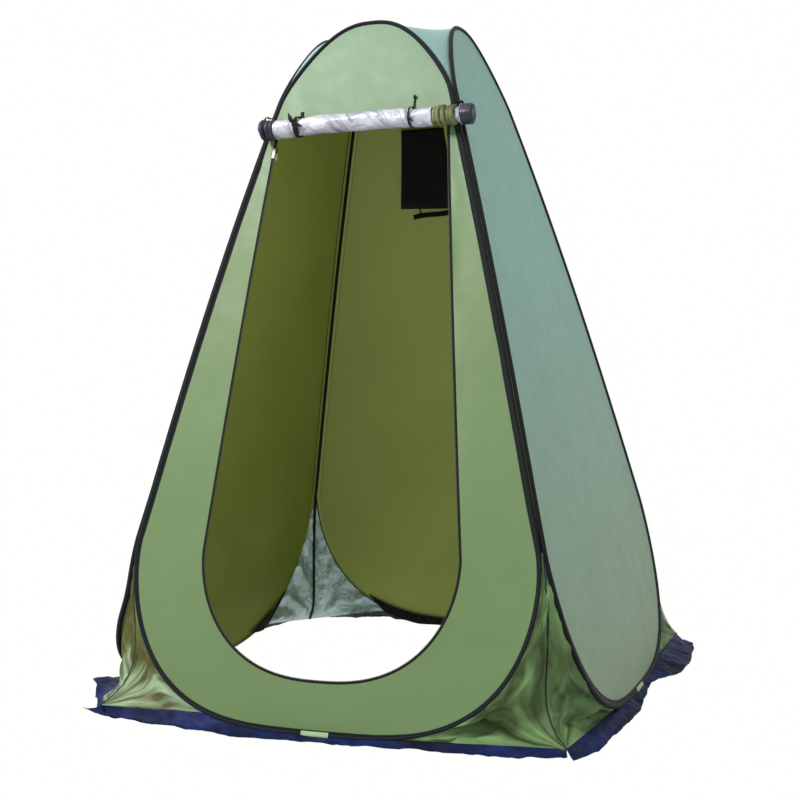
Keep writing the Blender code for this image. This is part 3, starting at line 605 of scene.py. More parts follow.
def cloth(name, body, grid, materials, thickness=CLOTH, wrap=False, uvs=None, nodes=()):
    """A closed sheet from a grid of points, whose rows x columns look outwards. materials: out, in.

    The two faces are split along the same diagonals, so neither comes through the other at a crease.
    """
    grid = np.asarray(grid, float)
    rows, columns = grid.shape[:2]
    half = grid_normals(grid, wrap) * thickness / 2
    points = np.concatenate([(grid + half).reshape(-1, 3), (grid - half).reshape(-1, 3)])
    count, last = rows * columns, columns if wrap else columns - 1
    steps = np.arange(last)
    after = (steps + 1) % columns
    up = np.arange(rows - 1)[:, None] * columns
    quads = np.stack([up + steps, up + after, up + after + columns, up + steps + columns], -1).reshape(-1, 4)

    def rim(a, b):
        return np.stack([a, b, b + count, a + count], 1)

    top, edge = (rows - 1) * columns, up[:, 0]
    rims = [rim(after, steps), rim(steps + top, after + top)]
    if not wrap:
        rims += [rim(edge, edge + columns), rim(edge + 2 * columns - 1, edge + columns - 1)]
    faces = np.concatenate([quads, quads[:, [0, 3, 2, 1]] + count] + rims)
    index = np.zeros(len(faces), np.int32)
    index[len(quads) : 2 * len(quads)] = len(materials) - 1
    uvs = lengths_along(grid) if uvs is None else uvs
    uvs = np.concatenate([uvs.reshape(-1, 2)] * 2)
    return make_object(name, body, points, faces, materials, index, uvs, nodes=nodes)


def between_rings(count, sides, closed=False):
    """Quads between rings of points, each from its first ring's point to the next one round."""
    i, k = np.meshgrid(np.arange(count if closed else count - 1), np.arange(sides), indexing="ij")
    n, j = (k + 1) % sides, (i + 1) % count
    return np.stack([i * sides + k, i * sides + n, j * sides + n, j * sides + k], -1).reshape(-1, 4)


def swept(name, body, path, normals, profile, material, closed=False, sharp=55, lining=None, nodes=()):
    """A profile carried along a path. Profile points are (across, outwards), for each step or for all.

    lining is (material, sides of the profile, steps of the path) that have another material.
    """
    path = np.asarray(path, float)
    count = len(path)
    tangent = unit(np.roll(path, -1, 0) - np.roll(path, 1, 0) if closed else np.gradient(path, axis=0))
    normals = np.broadcast_to(normals, path.shape)
    normals = unit(normals - tangent * (normals * tangent).sum(1)[:, None])
    across = np.cross(tangent, normals)
    profile = np.asarray(profile, float)
    profile = np.broadcast_to(profile, (count,) + profile.shape[-2:])
    sides = profile.shape[1]
    points = path[:, None] + across[:, None] * profile[..., :1] + normals[:, None] * profile[..., 1:]
    faces = list(between_rings(count, sides, closed))
    index = np.zeros(len(faces) + (0 if closed else 2), np.int32)
    if lining:
        step, part = np.divmod(np.array(faces)[:, 0], sides)
        index[: len(faces)] = np.isin(part, lining[1]) & lining[2][step]
    if not closed:
        faces += [range(sides)[::-1], range((count - 1) * sides, count * sides)]
    far = travelled(path)[:, None]
    uvs = np.stack(np.broadcast_arrays(far, travelled(profile[0])), 2).reshape(-1, 2)
    materials = [material, lining[0]] if lining else [material]
    return make_object(name, body, points.reshape(-1, 3), faces, materials, index, uvs, sharp, nodes)


def on_side(name, side, path, profile, material, facing=OUTWARDS, place=turned, **more):
    """A profile swept along a path of the front wall, then carried to its side with that wall's body."""
    normals = turned(np.broadcast_to(facing, path.shape), side)
    return swept(name, f"{side}_wall", place(path, side), normals, profile, material, **more)


def circle(radius, sides):
    """A round profile, clockwise when seen along the path."""
    angles = -2 * math.pi * np.arange(sides) / sides
    return np.stack([radius * np.cos(angles), radius * np.sin(angles)], 1)


def ribbon(half_width, half_thickness):
    """A flat profile with rounded edges."""
    corner = half_thickness * 0.6
    w, t = half_width, half_thickness
    return [(w - corner, t), (w, t - corner), (w, corner - t), (w - corner, -t),
            (corner - w, -t), (-w, corner - t), (-w, t - corner), (corner - w, t)]


# Walls


def inside_of(side):
    # The left wall's inside is painted in shade.
    return "left_inside_shaded" if side == "left" else "wall_inside"


def wall_waves(points, seed):
    """How far taut cloth stands off its plane, with nothing at its sewn edges."""
    return 0.0022 * uneven(points, 0.42, seed) + 0.0010 * uneven(points, 0.13, seed + 9)


def plain_wall(side, seed):
    """A wall without an opening, in rows across the tent."""
    half = grown(HOOP, -CLOTH_EDGE)[1 : len(HOOP) // 2]
    share = np.sin(np.linspace(-math.pi / 2, math.pi / 2, 45) * 0.86) / math.sin(math.pi / 2 * 0.86)
    along = half[:, :1] * share
    z = np.broadcast_to(half[:, 1:], along.shape)
    edge = np.minimum(1 - np.abs(share), 0.12) / 0.12
    ends = np.minimum(np.minimum(z - z.min(), z.max() - z), 0.1) / 0.1
    grid = standing(on_wall(along, z, wall_waves(on_wall(along, z), seed) * edge * ends), side)
    made = cloth(f"{side}_wall_cloth", f"{side}_wall", grid, ["wall_outside", inside_of(side)],
                 uvs=np.stack([along, z], 2), nodes=[f"{side}_panel"])


def front_wall():
    """The front wall, rings of cloth from the hoop in to the doorway."""
    outer = grown(HOOP, -CLOTH_EDGE)
    share = np.linspace(0, 1, 17)[:, None]
    flat = outer * (1 - share[..., None]) + grown(DOOR, 0.006) * share[..., None]
    along, z = flat[..., 0], flat[..., 1]
    points = on_wall(along, z)
    near_door = share**2
    waves = wall_waves(points, 1) * np.sin(math.pi * share) ** 0.5
    waves = waves + 0.0025 * uneven(points, 0.20, 5) * near_door * (1 - near_door) * 4
    grid = on_wall(along, z, waves)
    made = cloth("front_wall_cloth", "front_wall", grid, ["front_outside", "wall_inside"], wrap=True, uvs=flat,
                 nodes=["front_panel"])
    middle = on_wall(np.zeros(99), np.linspace(outer[:, 1].min(), outer[:, 1].max(), 99))


def hoop_binding(side, seed):
    """Tape folded over the wire and stitched through the edge of the cloth, and the wire."""
    loop = on_wall(HOOP[:, 0], HOOP[:, 1])
    angles = np.radians(np.linspace(152, -152, 12))
    bead = np.stack([BINDING_RADIUS * np.cos(angles), BINDING_RADIUS * 0.92 * np.sin(angles)], 1)
    flange = [(-BINDING_FLANGE, BINDING_FLANGE_HALF), (-0.0075, BINDING_FLANGE_HALF)]
    profile = np.concatenate([flange, bead, np.array(flange)[::-1] * (1, -1)])
    profiles = profile * (1 + 0.03 * uneven(loop * 3, 0.10, seed)[:, None, None])
    for hand, share in BINDING_TWISTS.get(side, ()):
        foot = np.clip((hand * HOOP[:, 0] - 0.1) / 0.2, 0, 1) * np.clip((0.6 - HOOP[:, 1]) / 0.2, 0, 1)
        profiles *= (1 + share * foot)[:, None, None]
    lining = (inside_of(side), range(11, 15), HOOP[:, 1] < LINING_HIGH) if side in ("back", "left") else None
    on_side(f"{side}_binding", side, loop, profiles, "binding", place=standing, closed=True, sharp=70,
            lining=lining, nodes=[f"{side}_binding_sleeve"])
    on_side(f"{side}_spring_wire", side, loop, circle(WIRE_RADIUS, 8), "spring_wire", place=standing,
            closed=True, nodes=[f"{side}_hoop_wire"])


def joint_tab(side):
    """A pale patch folded round the hoop where the wire's ends meet."""
    low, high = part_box("front_joint_tab")
    path = on_wall(np.linspace(low.x, high.x, 13), HOOP_LOW)
    flap = [(-0.010 * (1 - t) - BINDING_RADIUS * 0.3 * t, BINDING_RADIUS * (0.55 + 0.55 * t))
            for t in np.linspace(0, 1, 9)]
    angles = np.radians(np.linspace(80, -80, 9))
    curve = 1.18 * BINDING_RADIUS * np.stack([np.cos(angles), np.sin(angles)], 1)
    # From the upper flap's edge, round the hoop, to the lower flap's
    profile = np.concatenate([flap, curve, np.array(flap)[::-1] * (1, -1)])
    on_side(f"{side}_tab_cloth", side, path, profile, "joint_tab", nodes=[f"{side}_joint_tab"])


def roof_cloth():
    """The top sheet between the hoops, level in the middle and running down to the seams."""
    s, t = np.meshgrid(*[np.linspace(-1, 1, 57)] * 2)
    sideways, upwards = HIGH_ARC_POWERS
    rise = np.maximum(np.cos(np.abs(s * t) * math.pi / 2), 0) ** (2 / upwards)
    z = SEAM_HIGH + (HOOP_HIGH - SEAM_HIGH) * rise - 0.010 * (1 - s * s) * (1 - t * t)
    x, y = (np.sign(share) * np.sin(np.abs(share) * math.pi / 2) ** (2 / sideways) * (outward(z) - 0.0065)
            for share in (s, t))
    grid = np.stack([x, y, z], -1)
    grid[..., 2] += 0.0025 * uneven(grid, 0.12, 4) * (1 - s**4) * (1 - t**4)
    made = cloth("roof_cloth", "front_wall", grid, ["roof_outside", "wall_inside"], nodes=["roof"])
    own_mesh(made)


# Corner gussets


def gusset_half(corner):
    """A corner gusset's half beside the front wall: rows up from its lower edge, hoop side first."""
    start, low, foot, bow, bow_at = GUSSETS[corner][:5]
    arc = grown(HOOP, GUSSET_EDGE)[: LOW_STEPS + 1]
    arc = spaced(arc[arc[:, 1] > start], GUSSET_ROWS)
    edge = on_wall(arc[:, 0], arc[:, 1])
    t = np.linspace(0, 1, GUSSET_ROWS + 1)
    z = low + (edge[-1, 2] - low) * t
    top = -edge[-1, 1] - 0.003
    sag = (t / bow_at) * np.exp(1 - t / bow_at) * (1 - t)
    reach = foot + (top - foot) * t - bow * sag
    seam = np.stack([reach, -reach, z], 1)
    share = np.linspace(0, 1, GUSSET_COLUMNS + 1)[None, :, None]
    return edge[:, None] * (1 - share) + seam[:, None] * share


def mirrored(grid):
    """The same half on the other side of the corner's diagonal, its seam side first."""
    return np.stack([-grid[..., 1], -grid[..., 0], grid[..., 2]], -1)[:, ::-1]


def zigzag(phase):
    """A wave of straight slopes between -1 and 1."""
    return 4 * np.abs(phase - np.floor(phase + 0.5)) - 1


def fan(grid):
    """Each point's direction from the gusset's foot, round from one hem to the other, and its distance."""
    places = lengths_along(grid)
    middle = grid.shape[1] // 2
    across = places[..., 0] - places[:, middle : middle + 1, 0]
    up = places[..., 1] - places[:1, :, 1]
    return np.arctan2(up, across), np.hypot(up, across)


def crushed(grid, full, seed):
    """Loose cloth between its sewn edges: folds that run from the foot, over broad dents."""
    rows, columns = grid.shape[:2]
    share = np.abs(np.linspace(-1, 1, columns))
    up = np.linspace(0, 1, rows)[:, None]
    fade = np.clip(share * (1 - share) * 5.5, 0, 1) ** 0.6 * np.minimum(up / 0.10, 1) ** 0.7
    angle, far = fan(grid)
    folds = zigzag(angle * 1.5 + 0.38 * uneven(grid, 0.20, seed)) * np.minimum(far / 0.25, 1)
    cross = zigzag(far * 5.5 + 0.8 * uneven(grid, 0.16, seed + 1) + angle * 0.8)
    dents = uneven(grid, 0.10, seed + 3, 3)
    lift = (0.0210 * folds + 0.0090 * cross + 0.0120 * dents + 0.030 * (full - 1)) * full * fade * (1 - up) ** 0.6
    return grid + grid_normals(grid) * lift[..., None]


def settled(grid, pinned, spare):
    """Blender's cloth, cut a little too large for its sewn edges, let go until it has creased."""
    rows, columns = grid.shape[:2]
    r, c = np.meshgrid(np.arange(rows - 1), np.arange(columns - 1), indexing="ij")
    a = (r * columns + c).ravel()
    quads = np.stack([a, a + 1, a + 1 + columns, a + columns], 1)
    mesh = bpy.data.meshes.new("loose")
    mesh.from_pydata([tuple(p) for p in grid.reshape(-1, 3)], [], [tuple(map(int, q)) for q in quads])
    made = bpy.data.objects.new("loose", mesh)
    bpy.context.scene.collection.objects.link(made)
    group = made.vertex_groups.new(name="sewn")
    group.add([int(i) for i in np.flatnonzero(pinned.ravel())], 1.0, "REPLACE")
    modifier = made.modifiers.new("cloth", "CLOTH")
    for name, value in CLOTH_SETTINGS.items():
        setattr(modifier.settings, name, value)
    modifier.settings.shrink_min = -spare
    modifier.settings.vertex_group_mass = "sewn"
    modifier.point_cache.frame_start = 1
    modifier.point_cache.frame_end = CLOTH_FRAMES
    for number in range(1, CLOTH_FRAMES + 1):
        bpy.context.scene.frame_set(number)
    shaped = made.evaluated_get(bpy.context.evaluated_depsgraph_get()).to_mesh()
    points = np.zeros(len(shaped.vertices) * 3)
    shaped.vertices.foreach_get("co", points)
    bpy.data.objects.remove(made)
    bpy.context.scene.frame_set(1)
    return points.reshape(grid.shape)


def eased(grid, pinned):
    """The sharpest creases let out a little."""
    inner = grid[1:-1, 1:-1]
    mean = (grid[2:, 1:-1] + grid[:-2, 1:-1] + grid[1:-1, 2:] + grid[1:-1, :-2]) / 4
    made = grid.copy()
    made[1:-1, 1:-1] += np.where(pinned[1:-1, 1:-1, None], 0, 0.4 * (mean - inner))
    return made


def finer(grid):
    """Twice the rows and columns, on smooth curves through the grid."""
    for axis in (0, 1):
        p = np.moveaxis(grid, axis, 0)
        before = np.concatenate([2 * p[:1] - p[1:2], p[:-1]])[:-1]
        after = np.concatenate([p[2:], 2 * p[-1:] - p[-2:-1]])
        middle = (9 * (p[:-1] + p[1:]) - before - after) / 16
        out = np.empty((2 * len(p) - 1,) + p.shape[1:])
        out[0::2], out[1::2] = p, middle
        grid = np.moveaxis(out, 0, axis)
    return grid


def sides_at(corner):
    """The side that a corner's shapes are drawn on, and the next side round."""
    number = list(GUSSETS).index(corner)
    return SIDES[number], SIDES[(number + 1) % len(SIDES)]


def gussets():
    """The four crumpled corners. The back left one is two halves, where the tent's fold is open."""
    for corner, (*_, full, seed) in GUSSETS.items():
        half = gusset_half(corner)
        shape = np.concatenate([half, mirrored(half)[:, 1:]], 1)
        pinned = np.zeros(shape.shape[:2], bool)
        pinned[:, [0, GUSSET_COLUMNS, -1]] = True
        pinned[[0, -1]] = True
        shape = crushed(shape, full, seed)
        shape = settled(shape, pinned, GUSSET_SPARE * full**2)
        side, following = sides_at(corner)
        shape = standing(finer(eased(shape, pinned)), side)
        angle, far = fan(shape)
        places, middle = np.stack([angle * 0.30, far], 2), shape.shape[1] // 2
        first, second = f"{side}_gusset_right", f"{following}_gusset_left"
        parts = [(f"gusset_{corner}_cloth", slice(None), [first, second], None)]
        if corner == OPEN_CORNER:
            parts = [("gusset_back_left_cloth", slice(None, middle + 1), [first], "back_wall"),
                     ("gusset_left_back_cloth", slice(middle, None), [second], "left_wall")]
        outside = "gusset_front_left" if corner == "front_left" else "gusset_outside"
        for name, columns, nodes, body in parts:
            grid = shape[:, columns]
            made = cloth(name, body, grid, [outside, "silver"], GUSSET_CLOTH, uvs=places[:, columns],
                         nodes=nodes)
            if not body:
                bend(made, corner)


def bend(piece, corner):
    """At the open corner the piece stays with the back wall; elsewhere its place is baked into its mesh."""
    if corner == OPEN_CORNER:
        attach(piece, "back_wall")
        return
    side, following = sides_at(corner)
    along = Vector(turned((FOLD_WIDTH, FOLD_WIDTH, 0), side))
    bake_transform(piece)


def corner_tapes():
    """Black tape inside each corner seam, from the roof to the gusset's foot, and the seam outside."""
    inset = np.array([-0.0035, 0.0035, 0.0])
    for corner in GUSSETS:
        side, _ = sides_at(corner)
        low = gusset_half(corner)[:, -1]
        z = np.linspace(SEAM_LOW + 0.01, SEAM_HIGH + 0.012, 60)
        inside = outward(z) - TAPE_INSET
        whole = np.concatenate([low[:-1] + inset, np.stack([inside, -inside, z], 1)])
        for name, path, facing, profile, material in (
            ("tape", spaced(whole, 120), (-1.0, 1.0, 0.2), ribbon(0.0048, 0.0006), "zip_tape"),
            ("edge", spaced(low, 60) - inset * 0.55, (1.0, -1.0, 0.2), ribbon(0.0014, 0.0009), "binding"),
        ):
            normals = turned(np.broadcast_to(facing, path.shape), side)
            bend(swept(f"seam_{name}_{corner}", None, standing(path, side), normals, profile, material), corner)


# Skirts


def skirt(side, seed):
    """A flap along the foot of a wall and its gussets, down to the ground, with ripples in its free edge."""
    outline = spaced(SKIRT_EDGES[side], SKIRT_COLUMNS)
    order, number = list(GUSSETS), SIDES.index(side)
    arc = grown(HOOP, GUSSET_EDGE)[: LOW_STEPS + 1]
    sewn = []
    for corner, hand in ((order[number - 1], -1), (order[number], 1)):
        start, low, foot = GUSSETS[corner][:3]
        under = arc[: np.argmax(arc[:, 1] > start) + 1]
        run = [(hand * u, float(outward(z)) - 0.0015, z + 0.002) for u, z in under]
        run.append((hand * (foot - 0.0015), foot - 0.0015, low + 0.002))
        sewn.append(np.array(run))
    inner = spaced(np.concatenate([sewn[0][::-1], sewn[1][1:]]), SKIRT_COLUMNS)
    t = np.linspace(0, 1, SKIRT_ROWS + 1)[:, None]
    free = 1 - t
    along, out = (outline[:, k] * free + inner[:, k] * t for k in (0, 1))
    flat = np.stack([along, -out, np.zeros_like(out)], -1)
    out = out + 0.004 * uneven(flat, 0.09, seed) * free
    ripples = np.abs(uneven(flat, 0.11, seed + 2, 3)) * 0.012 + np.abs(uneven(flat, 0.035, seed + 4)) * 0.004
    z = 0.0012 + ripples * np.sin(math.pi * np.clip(free * 0.8, 0, 1)) ** 0.7
    z = z + (inner[:, 2] - 0.0012) * np.clip((t - 0.25) / 0.75, 0, 1) ** 1.3
    if side in SKIRT_LIFTS:
        place, height, width = SKIRT_LIFTS[side]
        z = z + height * free**1.5 * np.exp(-(((along - place) / width) ** 2))
    points = np.stack([along, -out, z], -1)
    made = cloth(f"{side}_skirt_cloth", f"{side}_wall", standing(points, side), ["skirt", "skirt_inside"],
                 THIN_CLOTH, nodes=[f"{side}_skirt"])


def foot_band(side, start, end, full_start, full_end):
    """The black band inside a hoop's foot, between two places along the wall. It is deepest between two more."""
    along = np.linspace(start, end, 60)
    rows = np.linspace(0, 1, 5)[:, None]
    arc = grown(HOOP, -0.016)[: LOW_STEPS + 1]
    top = np.interp(np.abs(along), arc[:, 0], arc[:, 1])
    deep = np.interp(along, [start, full_start, full_end, end], [0.06, 1, 1, 0.06])
    z = top - np.minimum(top - 0.003, FOOT_BAND_DEPTH * deep) * (1 - rows)
    points = on_wall(np.broadcast_to(along, z.shape), z, -0.0095 - 0.004 * (1 - rows))
    points[..., 1] += 0.003 * uneven(points, 0.09, 31) * (1 - rows)
    made = cloth(f"{side}_foot_band", f"{side}_wall", turned(points[:, ::-1], side), ["skirt_inside"],
                 THIN_CLOTH)


# Door


def zip_line():
    """The zip's line, from the doorway's top left corner round its foot to the top right one."""
    corner = LOW_STEPS + SIDE_STEPS
    return np.concatenate([DOOR[-corner:], DOOR[: corner + 1]])


def door_zip():
    """The zip's tape round the doorway, and its teeth."""
    line = spaced(zip_line(), 330)
    middle = line + right_of(unit(np.gradient(line, axis=0))) * ZIP_TAPE_HALF
    swept("zip_tape_cloth", "front_wall", on_wall(middle[:, 0], middle[:, 1]), OUTWARDS,
          ribbon(ZIP_TAPE_HALF, 0.0013), "zip_tape", nodes=["door_zip_tape"])
    line = spaced(zip_line(), int(ZIP_LENGTH / ZIP_PITCH))
    beside = line + right_of(unit(np.gradient(line, axis=0)))
    centre = on_wall(line[:, 0], line[:, 1])
    along = unit(np.gradient(centre, axis=0))
    across = unit(on_wall(beside[:, 0], beside[:, 1]) - centre)
    turns = np.stack([along, across, np.cross(along, across)], 1)
    cube = np.array([(-1, -1, -1), (1, -1, -1), (1, 1, -1), (-1, 1, -1),
                     (-1, -1, 1), (1, -1, 1), (1, 1, 1), (-1, 1, 1)])
    sides = np.array([(0, 3, 2, 1), (4, 5, 6, 7), (0, 1, 5, 4), (1, 2, 6, 5), (2, 3, 7, 6), (3, 0, 4, 7)])
    points = centre[:, None] + (cube * ZIP_TOOTH_HALF) @ turns
    faces = sides + 8 * np.arange(len(centre))[:, None, None]
    make_object("zip_teeth", "front_wall", points.reshape(-1, 3), faces.reshape(-1, 4), ["zip_teeth"], sharp=30)


def roll_lift(x):
    """How much higher the roll is than its ends, at a place along it."""
    return ROLL_BOW * (1 - ((np.asarray(x) - ROLL_MIDDLE) / ROLL_HALF_LENGTH) ** 2)


def rolled_door():
    """The door wound on itself, silver side out, and the web of it up to the doorway's top edge."""
    x = ROLL_MIDDLE + np.linspace(ROLL_HALF_LENGTH, -ROLL_HALF_LENGTH, 101)
    angles = np.linspace(0, 2 * math.pi * ROLL_TURNS, ROLL_TURNS * ROLL_STEPS + 1)
    radius = ROLL_INNER + (ROLL_OUTER - ROLL_INNER) * angles / angles[-1]
    a, xs = np.meshgrid(angles, x, indexing="ij")
    last = np.stack([xs, ROLL_OUTER * np.cos(a), ROLL_OUTER * np.sin(a)], -1)
    seam = uneven(last, 0.10, 11)
    folds = zigzag(0.48 * a + 5.2 * xs + 0.30 * seam) * np.clip(0.6 + uneven(last, 0.09, 14), 0.1, 1)
    small = uneven(last, 0.028, 12, 3)
    pinch = sum(np.exp(-(((xs - tie) / 0.018) ** 2)) for tie in TIE_X.values())
    push = 0.0032 * folds + 0.0008 * small + 0.0016 * seam - 0.0022 * pinch
    r = radius[:, None] + push * (radius[:, None] / ROLL_OUTER) ** 2
    grid = np.stack([xs, ROLL_Y + r * np.cos(a), ROLL_Z + r * np.sin(a) + roll_lift(xs)], -1)
    top = DOOR_HIGH + 0.004
    edge = np.stack([x, np.full(len(x), -float(outward(top)) - 0.0015), np.full(len(x), top)], 1)
    web = np.linspace(0, 1, 6)[1:, None, None]
    grid = np.concatenate([grid, grid[-1][None] * (1 - web) + edge[None] * web])
    made = cloth("door_roll_cloth", "front_wall", grid, ["lining", "front_outside"], ROLLED_CLOTH,
                 nodes=["door_roll"])


def round_roll(radius, angles):
    """Points around the roll's own axis: y and z."""
    return ROLL_Y + radius * np.cos(angles), ROLL_Z + radius * np.sin(angles)


def bunched(name, extent, radius, rings, material, node, seed):
    """A wound end of the door, bunched into soft rings side by side."""
    angles = np.linspace(0, 2 * math.pi, ROLL_SIDES + 1)[:-1]
    points = []
    for share in np.linspace(0, 1, 14 * rings + 1):
        ring = share * rings
        number = math.floor(ring)
        groove = abs(math.sin(math.pi * ring)) ** 0.45
        x = extent[0] + (extent[1] - extent[0]) * share + 0.0018 * np.sin(angles + 1.9 * number + seed)
        wide = radius * (0.80 + 0.20 * groove) * (1 - 0.05 * math.cos(2.1 * number + seed))
        facet = 1 + 0.035 * np.cos(3 * angles + seed + 0.9 * number)
        points.append(np.stack([x, *round_roll(wide * facet, angles)], 1))
    points = np.array(points)
    points += 0.0010 * uneven(points, 0.02, seed)[..., None]
    capped_tube(name, points, material, [node])


def capped_tube(name, rings, material, nodes=()):
    """Rings of points joined into a closed body, its ends drawn in to the middle."""
    ends = []
    for ring, inward in ((rings[0], 1), (rings[-1], -1)):
        centre = ring.mean(0)
        ends.append([centre + (ring - centre) * s + np.array([inward * d, 0, 0])
                     for s, d in ((0.75, -0.0008), (0.45, 0.0015), (0.12, 0.0030))])
    body = np.array(ends[0][::-1] + list(rings) + ends[1])
    count, sides = body.shape[:2]
    faces = list(between_rings(count, sides)[:, [1, 2, 3, 0]])
    faces += [range(sides), range((count - 1) * sides, count * sides)[::-1]]
    uvs = np.stack(np.meshgrid(np.linspace(0, 0.18, sides), np.linspace(0, 0.05, count)), 2).reshape(-1, 2)
    made = make_object(name, "front_wall", body.reshape(-1, 3), faces, [material], uvs=uvs, nodes=nodes)


def wound_end():
    """The roll's right end: the door's hem wound up, navy outside and silver between its turns."""
    low, high = RIGHT_HEM
    angles = np.linspace(0, 2 * math.pi, ROLL_SIDES + 1)[:-1]
    rings = []
    for share in np.linspace(0, 1, 15):
        radius = 0.0175 + 0.0095 * share**2.2 + 0.0008 * math.sin(9 * share)
        facet = 1 + 0.04 * np.cos(5 * angles + 3 * share)
        x = np.full(ROLL_SIDES, low + 0.016 * share)
        rings.append(np.stack([x, *round_roll(radius * facet, angles)], 1))
    capped_tube("door_neck_cloth", rings, "lining")
    low += 0.0165
    angles = np.linspace(0, 2 * math.pi * HEM_TURNS, HEM_TURNS * 36 + 1)
    a, x = np.meshgrid(angles, np.linspace(high, low, 13), indexing="ij")
    r = (HEM_INNER + (HEM_OUTER - HEM_INNER) * (a / angles[-1])) * (1 + 0.045 * np.cos(6 * a + 0.4))
    r = r + 0.0012 * np.sin(math.pi * (x - low) / (high - low))
    x = x + 0.0022 * np.sin(a * 0.5 + 1.0) * (a / angles[-1])
    grid = np.stack([x, *round_roll(r, a)], -1)
    made = cloth("door_hem_right_cloth", "front_wall", grid, ["hem", "lining"], HEM_CLOTH,
                 nodes=["door_hem_right"])


def tie(hand, half_width, top):
    """A tie from the outside of the panel, round the roll and up the panel's inside."""
    x = TIE_X[hand]
    middle = np.array([x, ROLL_Y, ROLL_Z + float(roll_lift(x))])
    spokes = [np.array([0, math.cos(a), math.sin(a)]) for a in np.radians(np.linspace(*TIE_WRAP, 34))]
    aside = x - TIE_LEAN
    path = [on_wall(aside, top, 0.0022), on_wall(aside, (top + 1.636) / 2, 0.0024)]
    path += [on_wall(aside, 1.636, 0.0035)]
    path += [middle + s * TIE_RADIUS for s in spokes]
    path += [on_wall(x, DOOR_HIGH, -0.0084), on_wall(x, 1.632, -0.0030), on_wall(x, TIE_INNER_Z, -0.0022)]
    normals = [OUTWARDS] * 3 + spokes + [-OUTWARDS] * 3
    swept(f"tie_{hand}_band", "front_wall", path, normals, ribbon(half_width, TIE_HALF_THICK), "webbing",
          nodes=[f"door_tie_{hand}"])
    return middle


def tail(name, points, widths):
    """A flat end of a tie, narrowing to a point, through a few given points."""
    line = spaced(smooth(np.array(points)), 14)
    width = np.interp(np.linspace(0, 1, 15), np.linspace(0, 1, len(widths)), widths)
    swept(name, "front_wall", line, OUTWARDS, [ribbon(w, TIE_HALF_THICK) for w in width], "webbing")


def smooth(points, rounds=4):
    """A curve with its corners cut, through its own two ends."""
    for _ in range(rounds):
        a, b = points[:-1], points[1:]
        cut = np.stack([a * 0.75 + b * 0.25, a * 0.25 + b * 0.75], 1).reshape(-1, points.shape[1])
        points = np.concatenate([points[:1], cut, points[-1:]])
    return points


def bead(name, centre, radii, material, node, seed):
    """A small knot or ball, slightly uneven."""
    rings, sides = 12, 18
    a, b = np.meshgrid(np.arange(1, rings) * math.pi / rings, np.arange(sides) * 2 * math.pi / sides,
                       indexing="ij")
    ball = np.stack([np.sin(a) * np.cos(b), np.sin(a) * np.sin(b), np.cos(a)], -1).reshape(-1, 3)
    points = np.concatenate([ball, [(0, 0, 1), (0, 0, -1)]]) * radii
    points *= (1 + 0.16 * uneven(points, float(max(radii)), seed))[:, None]
    top, bottom, last = len(ball), len(ball) + 1, (rings - 2) * sides
    faces = list(between_rings(rings - 1, sides)[:, [0, 3, 2, 1]])
    for k in range(sides):
        n = (k + 1) % sides
        faces += [(top, k, n), (bottom, last + n, last + k)]
    make_object(name, "front_wall", points + centre, faces, [material], uvs=points[:, :2], nodes=[node])


def door_ties():
    """The broad tie, knotted in front with three ends, and the cord with its toggle above and one end."""
    middle = tie("left", 0.0058, 1.650)
    front = middle + (0, -0.031, 0.004)
    bead("tie_left_knot", front, (0.0075, 0.0050, 0.0065), "webbing", "door_tie_left_toggle", 2)
    for where, first, last, widths in (
        ("upper", (-0.008, -0.004, 0.013), (-0.018, 0.004, 0.032), (0.004, 0.0065, 0.0012)),
        ("lower", (0.006, -0.003, -0.010), (0.010, 0.006, -0.026), (0.004, 0.0055, 0.0050)),
        ("side", (0.012, -0.005, -0.002), (0.026, 0.000, -0.009), (0.003, 0.0045, 0.0012)),
    ):
        tail(f"tie_left_{where}_end", [front, front + first, front + last], widths)
    middle = tie("right", 0.0028, TIE_OUTER_Z)
    toggle = on_wall(TIE_X["right"] - TIE_LEAN, TIE_OUTER_Z + 0.003, 0.0055)
    bead("tie_right_toggle", toggle, (0.0050, 0.0050, 0.0055), "toggle_plastic", "door_tie_right_toggle", 5)
    hanging = middle + [(0, -0.031, -0.002), (0.007, -0.034, -0.010), (0.014, -0.028, -0.014)]
    tail("tie_right_lower_end", hanging, (0.0024, 0.0024, 0.0012))


# Small pieces


def guy_loops():
    """A folded loop of webbing at each front corner, standing out on the diagonal."""
    foot = float(outward(GUY_Z))
    diagonal = np.array([1.0, -1.0, 0.0]) / math.sqrt(2)
    up = np.array([0.0, 0.0, 1.0])
    start = np.array([foot, -foot, GUY_Z]) + diagonal * 0.001
    centre = start + diagonal * 0.0125
    loop = [centre + diagonal * 0.0062 * math.cos(a) + up * 0.0066 * math.sin(a)
            for a in np.radians(np.linspace(-128, 128, 22))]
    path = np.array([start - up * 0.0030, *loop, start + up * 0.0030])
    normals = np.cross(np.cross(diagonal, up), np.gradient(path, axis=0))
    for corner in ("front_right", "front_left"):
        side, _ = sides_at(corner)
        swept(f"guy_loop_{corner}", "front_wall", turned(path, side), turned(normals, side),
              ribbon(0.0080, 0.0007), "webbing", nodes=[f"guy_tab_{corner}"])


